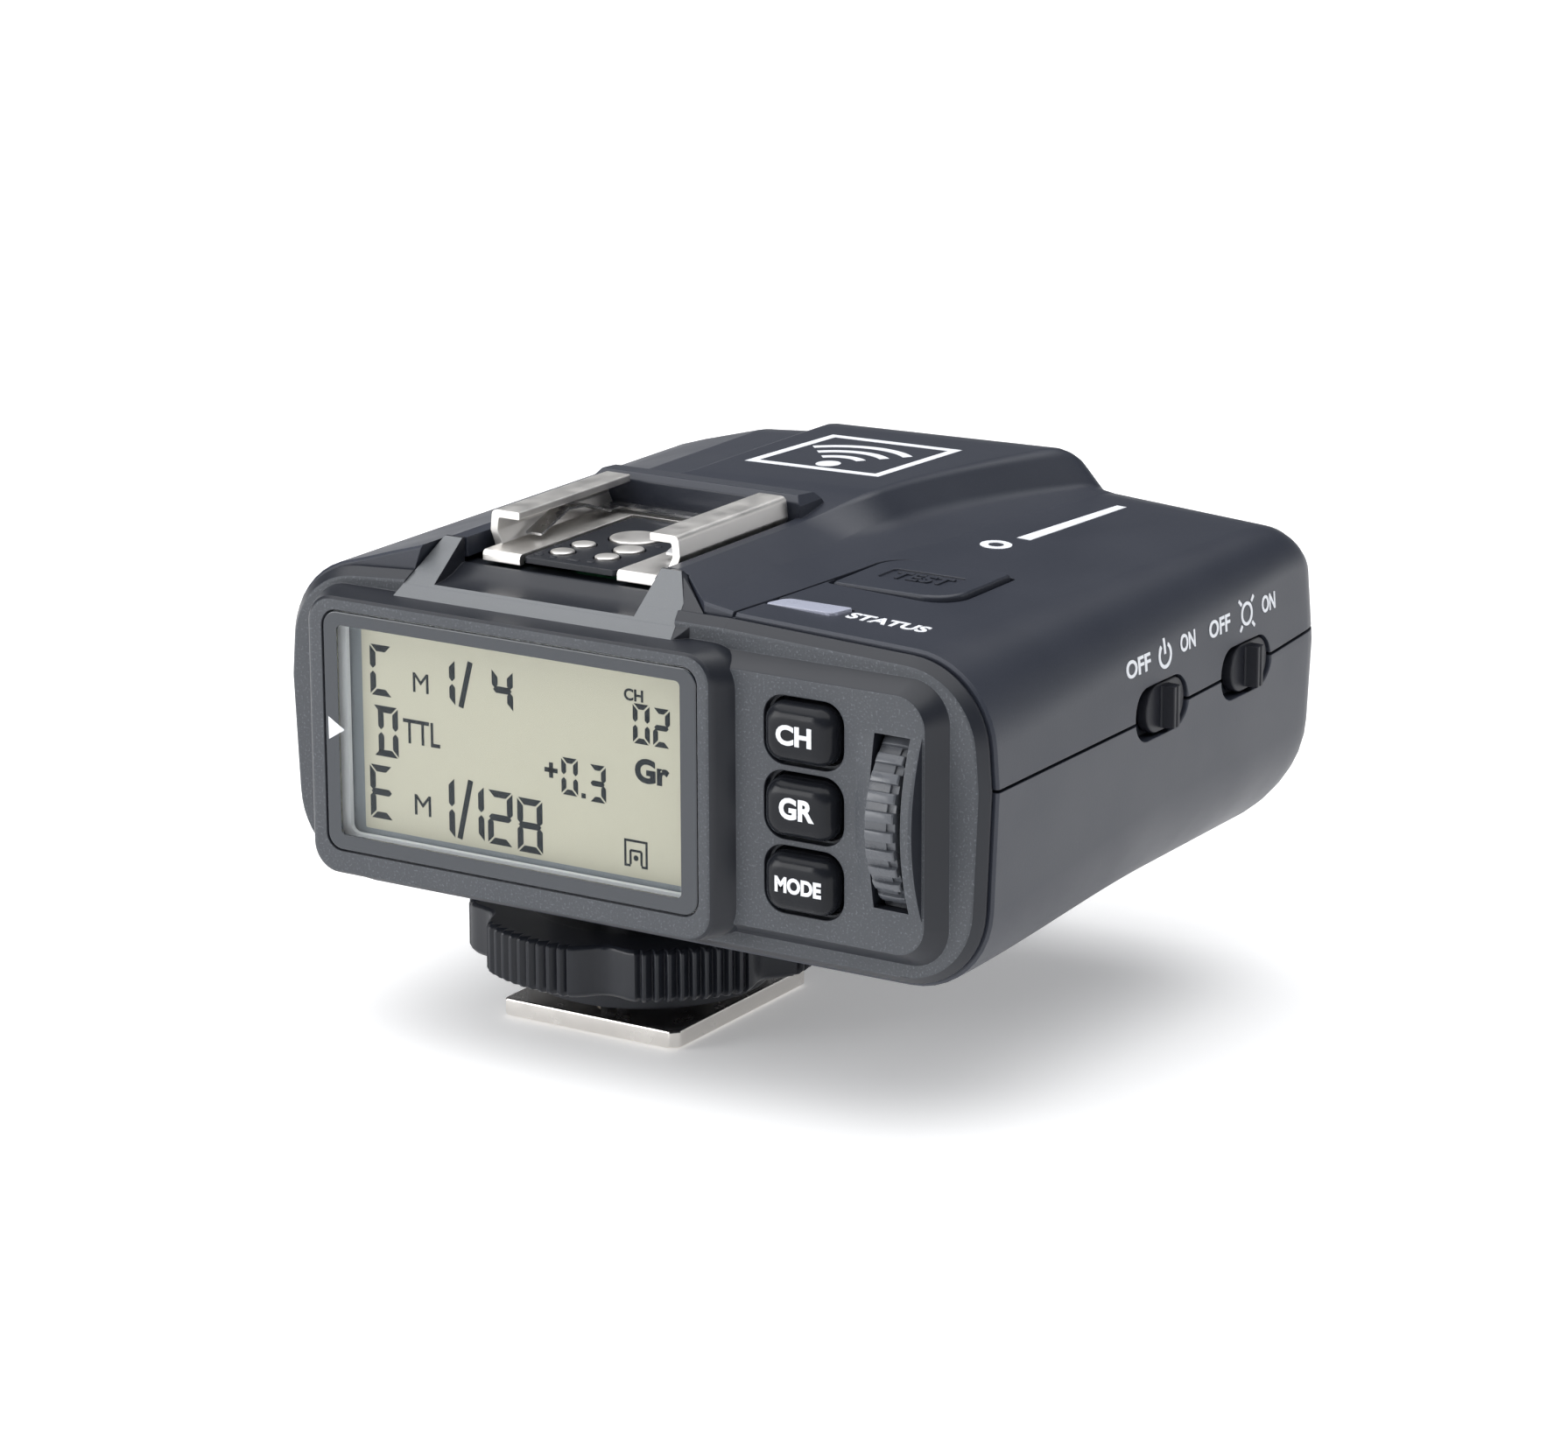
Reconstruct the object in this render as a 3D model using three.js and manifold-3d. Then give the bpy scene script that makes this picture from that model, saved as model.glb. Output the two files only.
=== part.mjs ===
// Wireless flash trigger with a locking shoe foot below and a pass-through accessory shoe on top.
// Units are millimetres. Origin: centre of the foot plate's underside. +X is the user's right
// when reading the display, +Y points away from the user, +Z is up.
import * as THREE from 'three';
import Module from 'manifold-3d';

const wasm = await Module();
wasm.setup();

// ---------------------------------------------------------------- driving sizes
const GAP = 0.3; // clearance between neighbouring pieces
const WALL = 1.8; // case wall

const BODY = { xL: -27.3, xR: 46.8, zB: 13.4, zP: 32.0, zT: 44.0, zEdge: 43.0, yF: -18.5, yR: 42.5 };
const CORNER = 8.2; // case corner radius seen from the front
const REAR_R = 5.0; // rounding round the rear face
const DRAFT = 0.8; // side draft away from the parting line

const FACE_Y = -20.0; // bezel ring face
const PANEL_Y = -21.8; // button panel face
const FRAME_Y = -24.0; // display frame face

const SHOE = { x: 0.6, y0: -12.0, y1: 5.8, half: 10.05, lip: 3.05, z: 45.0, top: 48.1, sheet: 0.7 };
const DECK_Z = SHOE.z - SHOE.sheet - GAP;
const HUMP = { x: 0.4, half: 12.0, z: 46.0, seam: 20.0 };
const HEAD = { x0: -6.6, x1: 14.4, z: 47.5, y: 13.8 };

const KEY = { x: 29.6, z: [35.4, 28.75, 22.1], w: 7.0, h: 5.2, r: 1.6, front: -23.1 };
const DIAL = { x0: 36.9, x1: 39.7, y: -14.3, z: 28.6, r: 10.0, teeth: 36, axle: 1.1 };
const TEST = { x: 28.0, y: 0.5, w: 12.0, d: 10.8 };
const STATUS = { x: 24.6, y: -12.8 };
const SLIDERS = { power: 10.5, lamp: 26.6 };
const SLIDER_Z = 32.4;
const SLIDER_TRAVEL = 2.2;
const AF = { x: 9.7, z: 24.6, w: 30.0, h: 8.4 }; // focus-assist window in the rear face

const FOOT = { w: 18.6, d: 22.4, t: 1.7, chamfer: 1.2 };
const STEM = { x: -1.0, y: 0.0, r: 5.2 };
const RING = { r: 16.3, z0: 5.0, z1: 9.6, bore: 5.5, lobes: 6, knurls: 9 };
const DISC = { r: 11.0, z0: 2.9, z1: 4.7 };

const CELL = { r: 7.2, x0: -15.2, x1: 34.6, at: [[23.2, 22.9], [32.7, 34.0]] };
const DOOR = { x0: -17.7, x1: 36.7, y0: 17.3, y1: 37.3, hingeY: 38.7, hingeZ: 12.2 };

const COLOR = {
  slate: 0x3d424b, grey: 0x50545a, black: 0x17181a, glass: 0x3a3e48, lcd: 0xbab9a0, lens: 0xe8eaec,
  nickel: 0xc9c4b8, silver: 0xb9b6ad, gold: 0xc2a35c, board: 0x1f5a3a, white: 0xdfe2e6, red: 0x6e1414,
  cell: 0x2f5d9a, steel: 0x8e9094,
};

// ---------------------------------------------------------------- solid helpers
const AXES = { x: [0, 1, 2], y: [1, 0, 2], z: [2, 0, 1] };

function place(axis, along, u, v) {
  const p = [0, 0, 0];
  const [a, b, c] = AXES[axis];
  p[a] = along;
  p[b] = u;
  p[c] = v;
  return p;
}

function makeSolid(vertices, triangles) {
  let volume = 0;
  for (const [i, j, k] of triangles) {
    const [a, b, c] = [vertices[i], vertices[j], vertices[k]];
    volume += a[0] * (b[1] * c[2] - b[2] * c[1]) - a[1] * (b[0] * c[2] - b[2] * c[0]) +
      a[2] * (b[0] * c[1] - b[1] * c[0]);
  }
  const ordered = volume > 0 ? triangles : triangles.map(([i, j, k]) => [i, k, j]);
  return new wasm.Manifold(new wasm.Mesh({
    numProp: 3,
    vertProperties: new Float32Array(vertices.flat()),
    triVerts: new Uint32Array(ordered.flat()),
  }));
}

function turn(loop) {
  return loop.reduce((sum, [u, v], i) => {
    const [p, q] = loop[(i + 1) % loop.length];
    return sum + u * q - p * v;
  }, 0);
}

const ccw = (loop) => (turn(loop) > 0 ? loop : [...loop].reverse());

// Skin through equal-length loops [{ at, loop: [[u, v], ...] }, ...] set along one axis.
function loft(axis, rawSections) {
  const sections = rawSections.map(({ at, loop }) => ({ at, loop: ccw(loop) }));
  const n = sections[0].loop.length;
  const vertices = sections.flatMap(({ at, loop }) => loop.map(([u, v]) => place(axis, at, u, v)));
  const triangles = [];
  for (let s = 0; s < sections.length - 1; s += 1) {
    for (let i = 0; i < n; i += 1) {
      const a = s * n + i;
      const b = s * n + (i + 1) % n;
      triangles.push([a, b, b + n], [a, b + n, a + n]);
    }
  }
  const cap = ({ loop }) => {
    const outline = loop.map(([u, v]) => new THREE.Vector2(u, v));
    return THREE.ShapeUtils.triangulateShape(outline, []);
  };
  const last = (sections.length - 1) * n;
  for (const [i, j, k] of cap(sections[0])) triangles.push([i, k, j]);
  for (const [i, j, k] of cap(sections[sections.length - 1])) triangles.push([last + i, last + j, last + k]);
  return makeSolid(vertices, triangles);
}

const prism = (axis, loop, a, b) => loft(axis, [{ at: a, loop }, { at: b, loop }]);
const box = (x0, x1, y0, y1, z0, z1) => prism('z', [[x0, y0], [x1, y0], [x1, y1], [x0, y1]], z0, z1);

function circle(u, v, r, n = 24) {
  return Array.from({ length: n }, (_, i) => {
    const t = (i / n) * 2 * Math.PI;
    return [u + r * Math.cos(t), v + r * Math.sin(t)];
  });
}

const rod = (axis, u, v, r, a, b, n = 24) => prism(axis, circle(u, v, r, n), a, b);

// Closed loop with rounded corners [[u, v, radius], ...]; every rounded corner gets n + 1 points.
function rounded(corners, n = 5) {
  const loop = [];
  corners.forEach(([u, v, r], i) => {
    const before = corners[(i + corners.length - 1) % corners.length];
    const after = corners[(i + 1) % corners.length];
    if (!r) {
      loop.push([u, v]);
      return;
    }
    const a = new THREE.Vector2(before[0] - u, before[1] - v).normalize();
    const b = new THREE.Vector2(after[0] - u, after[1] - v).normalize();
    const half = Math.acos(THREE.MathUtils.clamp(a.dot(b), -1, 1)) / 2;
    const mid = a.clone().add(b).normalize().multiplyScalar(r / Math.sin(half));
    const centre = new THREE.Vector2(u, v).add(mid);
    const start = new THREE.Vector2(u, v).addScaledVector(a, r / Math.tan(half)).sub(centre).angle();
    const end = new THREE.Vector2(u, v).addScaledVector(b, r / Math.tan(half)).sub(centre).angle();
    let sweep = end - start;
    if (sweep > Math.PI) sweep -= 2 * Math.PI;
    if (sweep < -Math.PI) sweep += 2 * Math.PI;
    for (let k = 0; k <= n; k += 1) {
      const t = start + (sweep * k) / n;
      loop.push([centre.x + r * Math.cos(t), centre.y + r * Math.sin(t)]);
    }
  });
  return loop;
}

function roundRect(u, v, w, h, r, n = 4) {
  const [a, b] = [w / 2, h / 2];
  return rounded([[u - a, v - b, r], [u + a, v - b, r], [u + a, v + b, r], [u - a, v + b, r]], n);
}

// Leaf shape: two opposite corners nearly sharp, the other two well rounded.
function leaf(u, v, w, d, sharp, soft, skew = 0, n = 4) {
  const [a, b] = [w / 2, d / 2];
  return rounded([[u - a, v - b, sharp], [u + a - skew, v - b, soft], [u + a, v + b, sharp],
    [u - a + skew, v + b, soft]], n);
}

const group = new THREE.Group();
group.name = 'wireless_flash_trigger';

function add(name, solid, color, roughness = 0.6, metalness = 0) {
  const { vertProperties, triVerts, numProp } = solid.getMesh();
  const positions = new Float32Array((vertProperties.length / numProp) * 3);
  for (let i = 0; i < positions.length / 3; i += 1) {
    for (let k = 0; k < 3; k += 1) positions[i * 3 + k] = vertProperties[i * numProp + k];
  }
  const geometry = new THREE.BufferGeometry();
  geometry.setAttribute('position', new THREE.BufferAttribute(positions, 3));
  geometry.setIndex(new THREE.BufferAttribute(new Uint32Array(triVerts), 1));
  geometry.computeVertexNormals();
  const mesh = new THREE.Mesh(geometry, new THREE.MeshStandardMaterial({ color, roughness, metalness }));
  mesh.name = name;
  group.add(mesh);
}

// ---------------------------------------------------------------- case
function bodyLoop(inset) {
  const { xL, xR, zB, zP, zT, zEdge } = BODY;
  const r = Math.max(CORNER - inset, 1);
  return rounded([
    [xL + DRAFT + inset, zB + inset, r], [xR - DRAFT - inset, zB + inset, r],
    [xR - inset, zP, 0], [xR - DRAFT - inset, zEdge - inset, r],
    [HUMP.seam, zT - inset, 0], [2 * HUMP.x - HUMP.seam + 8, zT - inset, 0],
    [xL + DRAFT + inset, zEdge - inset, r], [xL + inset, zP, 0],
  ], 5);
}

function bodySolid(inset, yFront) {
  const sections = [{ at: yFront, loop: bodyLoop(inset) }];
  for (const degrees of [0, 30, 58, 82]) {
    const t = THREE.MathUtils.degToRad(degrees);
    const at = BODY.yR - inset - REAR_R + REAR_R * Math.sin(t);
    sections.push({ at, loop: bodyLoop(inset + REAR_R * (1 - Math.cos(t))) });
  }
  return loft('y', sections);
}

function humpSolid() {
  const { x, half, z, seam } = HUMP;
  const reach = seam - x;
  const loop = (top) => [[x - reach, 42.4], [x + reach, 42.4], [x + reach, 43.95], [x + half, top],
    [x - half, top], [x - reach - 1.4, 43.2]];
  return loft('y', [{ at: -18.4, loop: loop(44.0) }, { at: -14.9, loop: loop(z) }, { at: 16, loop: loop(z) }]);
}

function headSolid() {
  const { x0, x1, z } = HEAD;
  const loop = (front, rear) => [
    [-19.0, 42.4], [23.0, 42.4], [22.6, 43.9], [19.2, 44.5], [x1 + 2.6, 45.7], [x1 + 1.4, 46.9 - front],
    [x1, z - front], [x0, z - front], [x0 - 0.5, z - 0.9 - front], [-11.8, 46.1 - front * 0.5], [-20.4, 43.2],
  ].map(([u, v]) => [u, v - rear]);
  const sections = [{ at: 9.6, loop: loop(0.9, 0) }, { at: HEAD.y, loop: loop(0, 0) }];
  for (const degrees of [0, 30, 58, 80]) {
    const t = THREE.MathUtils.degToRad(degrees);
    sections.push({ at: BODY.yR - REAR_R + REAR_R * Math.sin(t), loop: loop(0, REAR_R * (1 - Math.cos(t))) });
  }
  return loft('y', sections);
}

function ledgeSolid() {
  const profile = [[SHOE.y1 + 0.4, 43.0], [10.0, 43.0], [10.0, 46.6], [9.2, 47.9], [SHOE.y1 + 0.9, 48.1],
    [SHOE.y1 + 0.4, 47.7]];
  const ledge = prism('x', profile, HUMP.x - 11.2, HUMP.x + 11.4);
  const ends = prism('y', [[HUMP.x - 12.0, 42.5], [HUMP.x + 12.2, 42.5], [HUMP.x + 12.2, 46.2],
    [HUMP.x + 10.6, 48.2], [HUMP.x - 10.4, 48.2], [HUMP.x - 12.0, 46.2]], 4, 12);
  return ledge.intersect(ends);
}

// Front ramp with its two horns; `grow` gives the notch cut in the cover for it.
function rampSolid(grow = 0) {
  const loop = (half, bottom, top) => {
    const [left, right] = [HUMP.x - half - grow, HUMP.x + half + grow];
    return [[left, bottom - grow], [right, bottom - grow], [right, top + grow], [left, top + grow]];
  };
  const wedge = loft('y', [
    { at: FACE_Y, loop: loop(14.8, 38.6, 41.1) }, { at: -18.2, loop: loop(13.6, 41.4, 43.4) },
    { at: -16.0, loop: loop(12.4, 42.5, HUMP.z) }, { at: -15.0 + grow, loop: loop(12.4, 42.5, HUMP.z) },
  ]);
  const trough = prism('x', [[-21, 42.4], [-18.9, 42.4], [-17.2, 42.9], [-15.2, 43.9], [-14, 43.9], [-14, 48],
    [-21, 48]], HUMP.x - 10.9, HUMP.x + 10.9);
  return grow ? wedge : wedge.subtract(trough);
}

function slotLoop(y, length, height) {
  return roundRect(y, SLIDER_Z, length, height, height / 2 - 0.1, 6);
}

function caseSolid() {
  let shell = bodySolid(0, BODY.yF).add(humpSolid()).add(headSolid()).add(ledgeSolid());
  shell = shell.subtract(bodySolid(WALL, BODY.yF - 1));
  shell = shell.subtract(prism('y', [[-5.2, 40], [13, 40], [13, 45.6], [-5.2, 45.6]], 15, 38.6));
  // shoe well
  shell = shell.subtract(box(SHOE.x - 10.7, SHOE.x + 10.7, -13.6, SHOE.y1 + 0.4, DECK_Z, 50));
  shell = shell.subtract(box(SHOE.x - 10.7, SHOE.x + 10.7, -16, -13.5, DECK_Z - 0.4, 50));
  shell = shell.subtract(rampSolid(GAP));
  // seam groove along the hump
  shell = shell.subtract(box(HUMP.seam + 0.1, HUMP.seam + 0.5, -19, TEST.y + TEST.d / 2 - 1, 43.5, 45));
  // test button and status light
  shell = shell.subtract(prism('z', leaf(TEST.x, TEST.y, TEST.w + 0.7, TEST.d + 0.7, 0.5, 3.3), 40, 46));
  shell = shell.subtract(prism('z', leaf(STATUS.x, STATUS.y, 7.9, 3.0, 0.3, 1.2, 0.6), 40, 46));
  // slide switch recesses with their stem slots
  shell = shell.add(box(42.6, 45.6, 3.4, 33.8, 27.4, 37.4).intersect(bodySolid(0.4, BODY.yF)));
  for (const y of Object.values(SLIDERS)) {
    shell = shell.subtract(prism('x', slotLoop(y, 10.0, 5.9), 45.2, 48));
    shell = shell.subtract(box(42, 46, y - 0.3 - SLIDER_TRAVEL, y + 2.4, SLIDER_Z - 1.3, SLIDER_Z + 1.3));
  }
  return shell;
}

const shell = caseSolid();
const screwSpots = [[-19.8, -13.0], [38.9, 1.4], [-20.9, 33.8], [39.8, 33.8]];

const topCover = shell.intersect(box(-60, 60, -40, 60, BODY.zP + 0.1, 60));
add('top_cover', topCover, COLOR.slate, 0.62);

let bottomCover = shell.intersect(box(-60, 60, -40, 60, 0, BODY.zP - 0.1));
bottomCover = bottomCover.add(rod('z', STEM.x, STEM.y, 9.4, 11.0, 13.8, 36));
bottomCover = bottomCover.subtract(rod('z', STEM.x, STEM.y, STEM.r + GAP, 10, 17, 32));
bottomCover = bottomCover.subtract(box(DOOR.x0 - GAP, DOOR.x1 + GAP, DOOR.y0 - GAP, DOOR.y1 + GAP, 12, 16));
for (const x of [-12, 31]) {
  const lug = prism('x', rounded([[37.9, 13.9, 0], [37.9, 11.5, 0.7], [39.5, 11.5, 0.7], [39.5, 13.9, 0]], 3),
    x - 2, x + 2);
  bottomCover = bottomCover.add(lug);
}
bottomCover = bottomCover.subtract(rod('x', DOOR.hingeY, DOOR.hingeZ, 0.6, -20, 40, 12));
for (const [x, y] of screwSpots) {
  bottomCover = bottomCover.add(rod('z', x, y, 2.5, 14, 22, 16)).subtract(rod('z', x, y, 2.0, 12, 14.9, 16));
  bottomCover = bottomCover.subtract(rod('z', x, y, 1.2, 12, 23, 12));
}
// rear focus-assist window and the left-hand sockets
bottomCover = bottomCover.subtract(prism('y', roundRect(AF.x, AF.z, AF.w + 0.6, AF.h + 0.6, 2.6), 39, 44));
bottomCover = bottomCover.subtract(prism('x', roundRect(6.0, 25.0, 8.0, 3.4, 0.8), -29, -24));
bottomCover = bottomCover.subtract(rod('x', 18.0, 25.0, 2.3, -29, -24, 20));
add('bottom_cover', bottomCover, COLOR.slate, 0.62);

// ---------------------------------------------------------------- front bezel
const frameLoop = (x0, x1, z0, z1, r) => rounded([[x0, z0, r], [x1, z0, r], [x1, z1, r], [x0, z1, r]], 4);
const panelLoop = (x1, z0, z1, r) => rounded([[20, z0, 0], [x1, z0, r], [x1, z1, r], [20, z1, 0]], 4);

function bulgeSolid() {
  const steps = 10;
  const loop = (rise) => {
    const arc = [];
    for (let i = 0; i <= steps; i += 1) {
      const t = (i / steps) * 2 - 1;
      arc.push([PANEL_Y + 0.05 - rise * (1 - t * t), DIAL.z + 8.2 * t]);
    }
    return [...arc, [PANEL_Y + 1.2, DIAL.z + 8.2], [PANEL_Y + 1.2, DIAL.z - 8.2]];
  };
  return loft('x', [
    { at: 34.6, loop: loop(0.1) }, { at: 36.2, loop: loop(0.9) }, { at: 41.2, loop: loop(2.0) },
  ]);
}

let bezel = loft('y', [
  { at: FACE_Y, loop: bodyLoop(1.0) }, { at: FACE_Y + 0.35, loop: bodyLoop(0.6) },
  { at: BODY.yF - GAP, loop: bodyLoop(0.2) },
]);
bezel = bezel.add(loft('y', [
  { at: PANEL_Y, loop: panelLoop(41.4, 17.4, 39.9, 2.6) },
  { at: FACE_Y + 0.6, loop: panelLoop(42.8, 16.0, 41.0, 3.6) },
]));
bezel = bezel.add(bulgeSolid());
bezel = bezel.add(loft('y', [
  { at: FRAME_Y, loop: frameLoop(-20.9, 21.2, 16.0, 41.0, 2.4) },
  { at: FRAME_Y + 0.4, loop: frameLoop(-21.3, 21.6, 15.6, 41.4, 2.6) },
  { at: FACE_Y + 0.6, loop: frameLoop(-23.8, 23.3, 15.2, 41.5, 4.0) },
]));
bezel = bezel.add(rampSolid());
// display opening: lens pocket, visible aperture, module bay
bezel = bezel.subtract(prism('y', frameLoop(-19.7, 20.2, 17.8, 40.2, 1.6), -25, -22.8));
bezel = bezel.subtract(prism('y', frameLoop(-17.9, 18.5, 19.3, 38.9, 0.8), -23, -22));
bezel = bezel.subtract(box(-19.3, 19.9, -22.3, -17, 17.7, 40.2));
// space behind the button panel
bezel = bezel.subtract(box(24.4, 41.2, -20.2, -17, 18.0, 39.6));
for (const z of KEY.z) {
  bezel = bezel.subtract(prism('y', roundRect(KEY.x, z, KEY.w + 0.9, KEY.h + 0.9, KEY.r + 0.3), -26, -17));
}
bezel = bezel.subtract(box(36.5, 40.1, -27, -17, DIAL.z - 7.8, DIAL.z + 7.8));
bezel = bezel.subtract(box(36.5, 40.1, -20.9, -17, DIAL.z - 8.7, DIAL.z + 8.7));
add('front_bezel', bezel, COLOR.grey, 0.7);

const lens = prism('y', frameLoop(-19.4, 19.9, 18.1, 39.9, 1.3), FRAME_Y + 0.05, -23.1);
add('lcd_window', lens, COLOR.glass, 0.08);
add('lcd_panel', prism('y', frameLoop(-18.9, 19.5, 18.1, 39.8, 0.4), -22.0, -20.8), COLOR.lcd, 0.35);
const backlight = prism('y', frameLoop(-18.9, 19.5, 18.1, 39.8, 0.4), -20.5, -18.2)
  .subtract(box(-17.5, 18.1, -18.9, -18, 19.5, 38.4));
add('lcd_backlight', backlight, COLOR.white, 0.5);

// ---------------------------------------------------------------- buttons and boards
const keyNames = ['ch', 'gr', 'mode'];
keyNames.forEach((name, i) => {
  const z = KEY.z[i];
  const cap = (inset) => roundRect(KEY.x, z, KEY.w - 2 * inset, KEY.h - 2 * inset, KEY.r - inset * 0.5);
  let key = loft('y', [
    { at: KEY.front, loop: cap(0.7) }, { at: KEY.front + 0.25, loop: cap(0.25) },
    { at: KEY.front + 0.7, loop: cap(0) }, { at: -19.8, loop: cap(0) },
  ]);
  key = key.add(prism('y', roundRect(KEY.x, z, KEY.w + 1.7, KEY.h + 0.9, 1.2), -19.8, -19.0));
  add(`${name}_button`, key, COLOR.black, 0.25);
  const body = box(KEY.x - 2.2, KEY.x + 2.2, -17.5, -16.3, z - 2.2, z + 2.2)
    .add(rod('y', KEY.x, z, 1.1, -18.1, -17.4, 12));
  add(`${name}_tact_switch`, body, COLOR.steel, 0.4, 0.6);
});

add('control_board', box(-16.8, 34.4, -16.0, -14.8, 17.0, 37.3), COLOR.board, 0.5);
add('main_board', box(-21.5, 34.0, -14.3, 13.0, 37.6, 38.8), COLOR.board, 0.5);

// ---------------------------------------------------------------- select dial
function dialSolid() {
  const loop = [];
  for (let i = 0; i < DIAL.teeth; i += 1) {
    const pitch = (2 * Math.PI) / DIAL.teeth;
    for (const [t, r] of [[0, DIAL.r], [0.62, DIAL.r], [0.7, DIAL.r - 0.55], [0.92, DIAL.r - 0.55]]) {
      const a = (i + t) * pitch;
      loop.push([DIAL.y + r * Math.cos(a), DIAL.z + r * Math.sin(a)]);
    }
  }
  return prism('x', loop, DIAL.x0, DIAL.x1).subtract(rod('x', DIAL.y, DIAL.z, DIAL.axle + 0.3, 30, 45, 16));
}
add('select_dial', dialSolid(), COLOR.black, 0.45);
add('dial_axle', rod('x', DIAL.y, DIAL.z, DIAL.axle, 34.9, 41.9, 16), COLOR.steel, 0.3, 0.8);

let bracket = box(35.2, 41.6, -16.2, -2.6, 26.4, 30.8).subtract(box(36.5, 40.1, -17, -3.8, 20, 36));
bracket = bracket.subtract(rod('x', DIAL.y, DIAL.z, DIAL.axle + 0.25, 30, 45, 16));
add('dial_bracket', bracket, COLOR.black, 0.6);

// ---------------------------------------------------------------- test button and status light
const testLoop = (inset) => leaf(TEST.x, TEST.y, TEST.w - 2 * inset, TEST.d - 2 * inset, 0.4, 3.0);
let testButton = loft('z', [
  { at: 42.0, loop: testLoop(0) }, { at: 43.75, loop: testLoop(0) }, { at: 44.0, loop: testLoop(0.3) },
]);
testButton = testButton.add(prism('z', roundRect(TEST.x, TEST.y, TEST.w + 1.6, TEST.d + 1.6, 2), 40.7, 41.2));
testButton = testButton.add(prism('z', testLoop(1), 41.0, 42.2));
testButton = testButton.subtract(box(TEST.x - 3.3, TEST.x + 3.3, TEST.y - 1.7, TEST.y + 1.7, 43.8, 45));
add('test_button', testButton, COLOR.slate, 0.55);
const testSwitch = box(TEST.x - 2.2, TEST.x + 2.2, TEST.y - 2.2, TEST.y + 2.2, 39.1, 39.6)
  .add(rod('z', TEST.x, TEST.y, 1.1, 39.5, 40.0, 12));
add('test_tact_switch', testSwitch, COLOR.steel, 0.4, 0.6);

const light = prism('z', leaf(STATUS.x, STATUS.y, 7.4, 2.5, 0.25, 1.0, 0.6), 41.2, 43.95)
  .add(prism('z', roundRect(STATUS.x, STATUS.y, 9.4, 3.9, 0.8), 40.8, 41.4));
add('status_light', light, COLOR.lens, 0.2);
const led = box(STATUS.x - 1.6, STATUS.x + 1.6, STATUS.y - 0.8, STATUS.y + 0.8, 39.1, 40.1);
add('status_led', led, COLOR.white, 0.3);

// ---------------------------------------------------------------- slide switches
for (const [name, y] of Object.entries(SLIDERS)) {
  const end = y + 5.0 - GAP;
  const grip = y + 1.1;
  let knob = prism('x', roundRect(end - 3.5, SLIDER_Z, 7.0, 5.2, 2.4, 5), 45.5, 46.5);
  knob = knob.add(prism('z', [[46.3, grip - 1.2], [47.7, grip - 0.8], [47.7, grip + 0.8], [46.3, grip + 1.2]],
    SLIDER_Z - 2.1, SLIDER_Z + 2.1));
  knob = knob.add(box(41.9, 45.7, grip - 1.0, grip + 1.0, SLIDER_Z - 0.9, SLIDER_Z + 0.9));
  add(`${name}_switch`, knob, COLOR.black, 0.5);
  const can = box(38.7, 42.2, y - 4.2, y + 4.2, SLIDER_Z - 2.2, SLIDER_Z + 2.2)
    .subtract(box(41.5, 43, y - 2.8, y + 2.6, SLIDER_Z - 1.3, SLIDER_Z + 1.3));
  add(`${name}_switch_body`, can, COLOR.steel, 0.4, 0.6);
}
add('switch_board', box(37.2, 38.4, 3.0, 34.0, 28.6, 36.6), COLOR.board, 0.5);

// ---------------------------------------------------------------- accessory shoe
function railLoop(side) {
  const { x, half, lip, z, top, sheet } = SHOE;
  const edge = half - sheet;
  const loop = [[half - 0.6, z - sheet], [half + 0.1, z + 1.2], [half - 0.1, top], [half - lip, top],
    [half - lip, top - sheet], [edge - 0.1, top - sheet], [edge + 0.05, z + 1.2], [edge - 0.5, z],
    [half - 4.85, z], [half - 4.85, z - sheet]];
  return loop.map(([u, v]) => [x + side * u, v]);
}
const { sheet } = SHOE;
let shoe = box(SHOE.x - 9.3, SHOE.x + 9.3, SHOE.y1 - 2.3, SHOE.y1, SHOE.z - sheet, SHOE.z);
for (const side of [-1, 1]) {
  shoe = shoe.add(prism('y', railLoop(side), SHOE.y0, SHOE.y1));
  const [a, b] = [SHOE.x + side * 5.2, SHOE.x + side * 9.2].sort((p, q) => p - q);
  shoe = shoe.add(box(a, b, -14.6, SHOE.y0 + 0.2, SHOE.z - sheet, SHOE.z));
  shoe = shoe.add(box(a, b, -14.6, -13.9, 44.0, SHOE.z));
}
add('shoe_plate', shoe, COLOR.nickel, 0.25, 1);

const pads = [
  ['centre', 0.5, -3.6, 2.4], ['1', 2.4, -7.6, 1.4], ['2', 2.2, -10.8, 1.1],
  ['3', -2.3, -11.2, 1.1], ['4', -2.2, -8.0, 1.1],
];
let insulator = box(SHOE.x - 4.9, SHOE.x + 4.9, -14.4, SHOE.y1 - 2.6, SHOE.z - sheet, SHOE.z);
for (const [name, x, y, r] of pads) {
  insulator = insulator.subtract(rod('z', x, y, r + 0.2, 43, 46, 20));
  add(`shoe_contact_${name}`, rod('z', x, y, r, SHOE.z - 0.6, SHOE.z + 0.1, 20), COLOR.silver, 0.3, 1);
}
add('shoe_insulator', insulator, COLOR.black, 0.5);

const springLine = [[4.9, 45.35], [2.0, 45.35], [-1.5, 46.6], [-4.5, 46.9], [-9.0, 45.4]];
const springLoop = [...springLine, ...[...springLine].reverse().map(([y, z]) => [y, z + 0.25])];
let spring = box(SHOE.x - 8.4, SHOE.x + 8.4, 3.6, 5.0, 45.35, 45.6);
for (const side of [-1, 1]) {
  const [a, b] = [SHOE.x + side * 6.7, SHOE.x + side * 8.4].sort((p, q) => p - q);
  spring = spring.add(prism('x', springLoop, a, b));
}
add('shoe_spring', spring, COLOR.steel, 0.3, 1);

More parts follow.
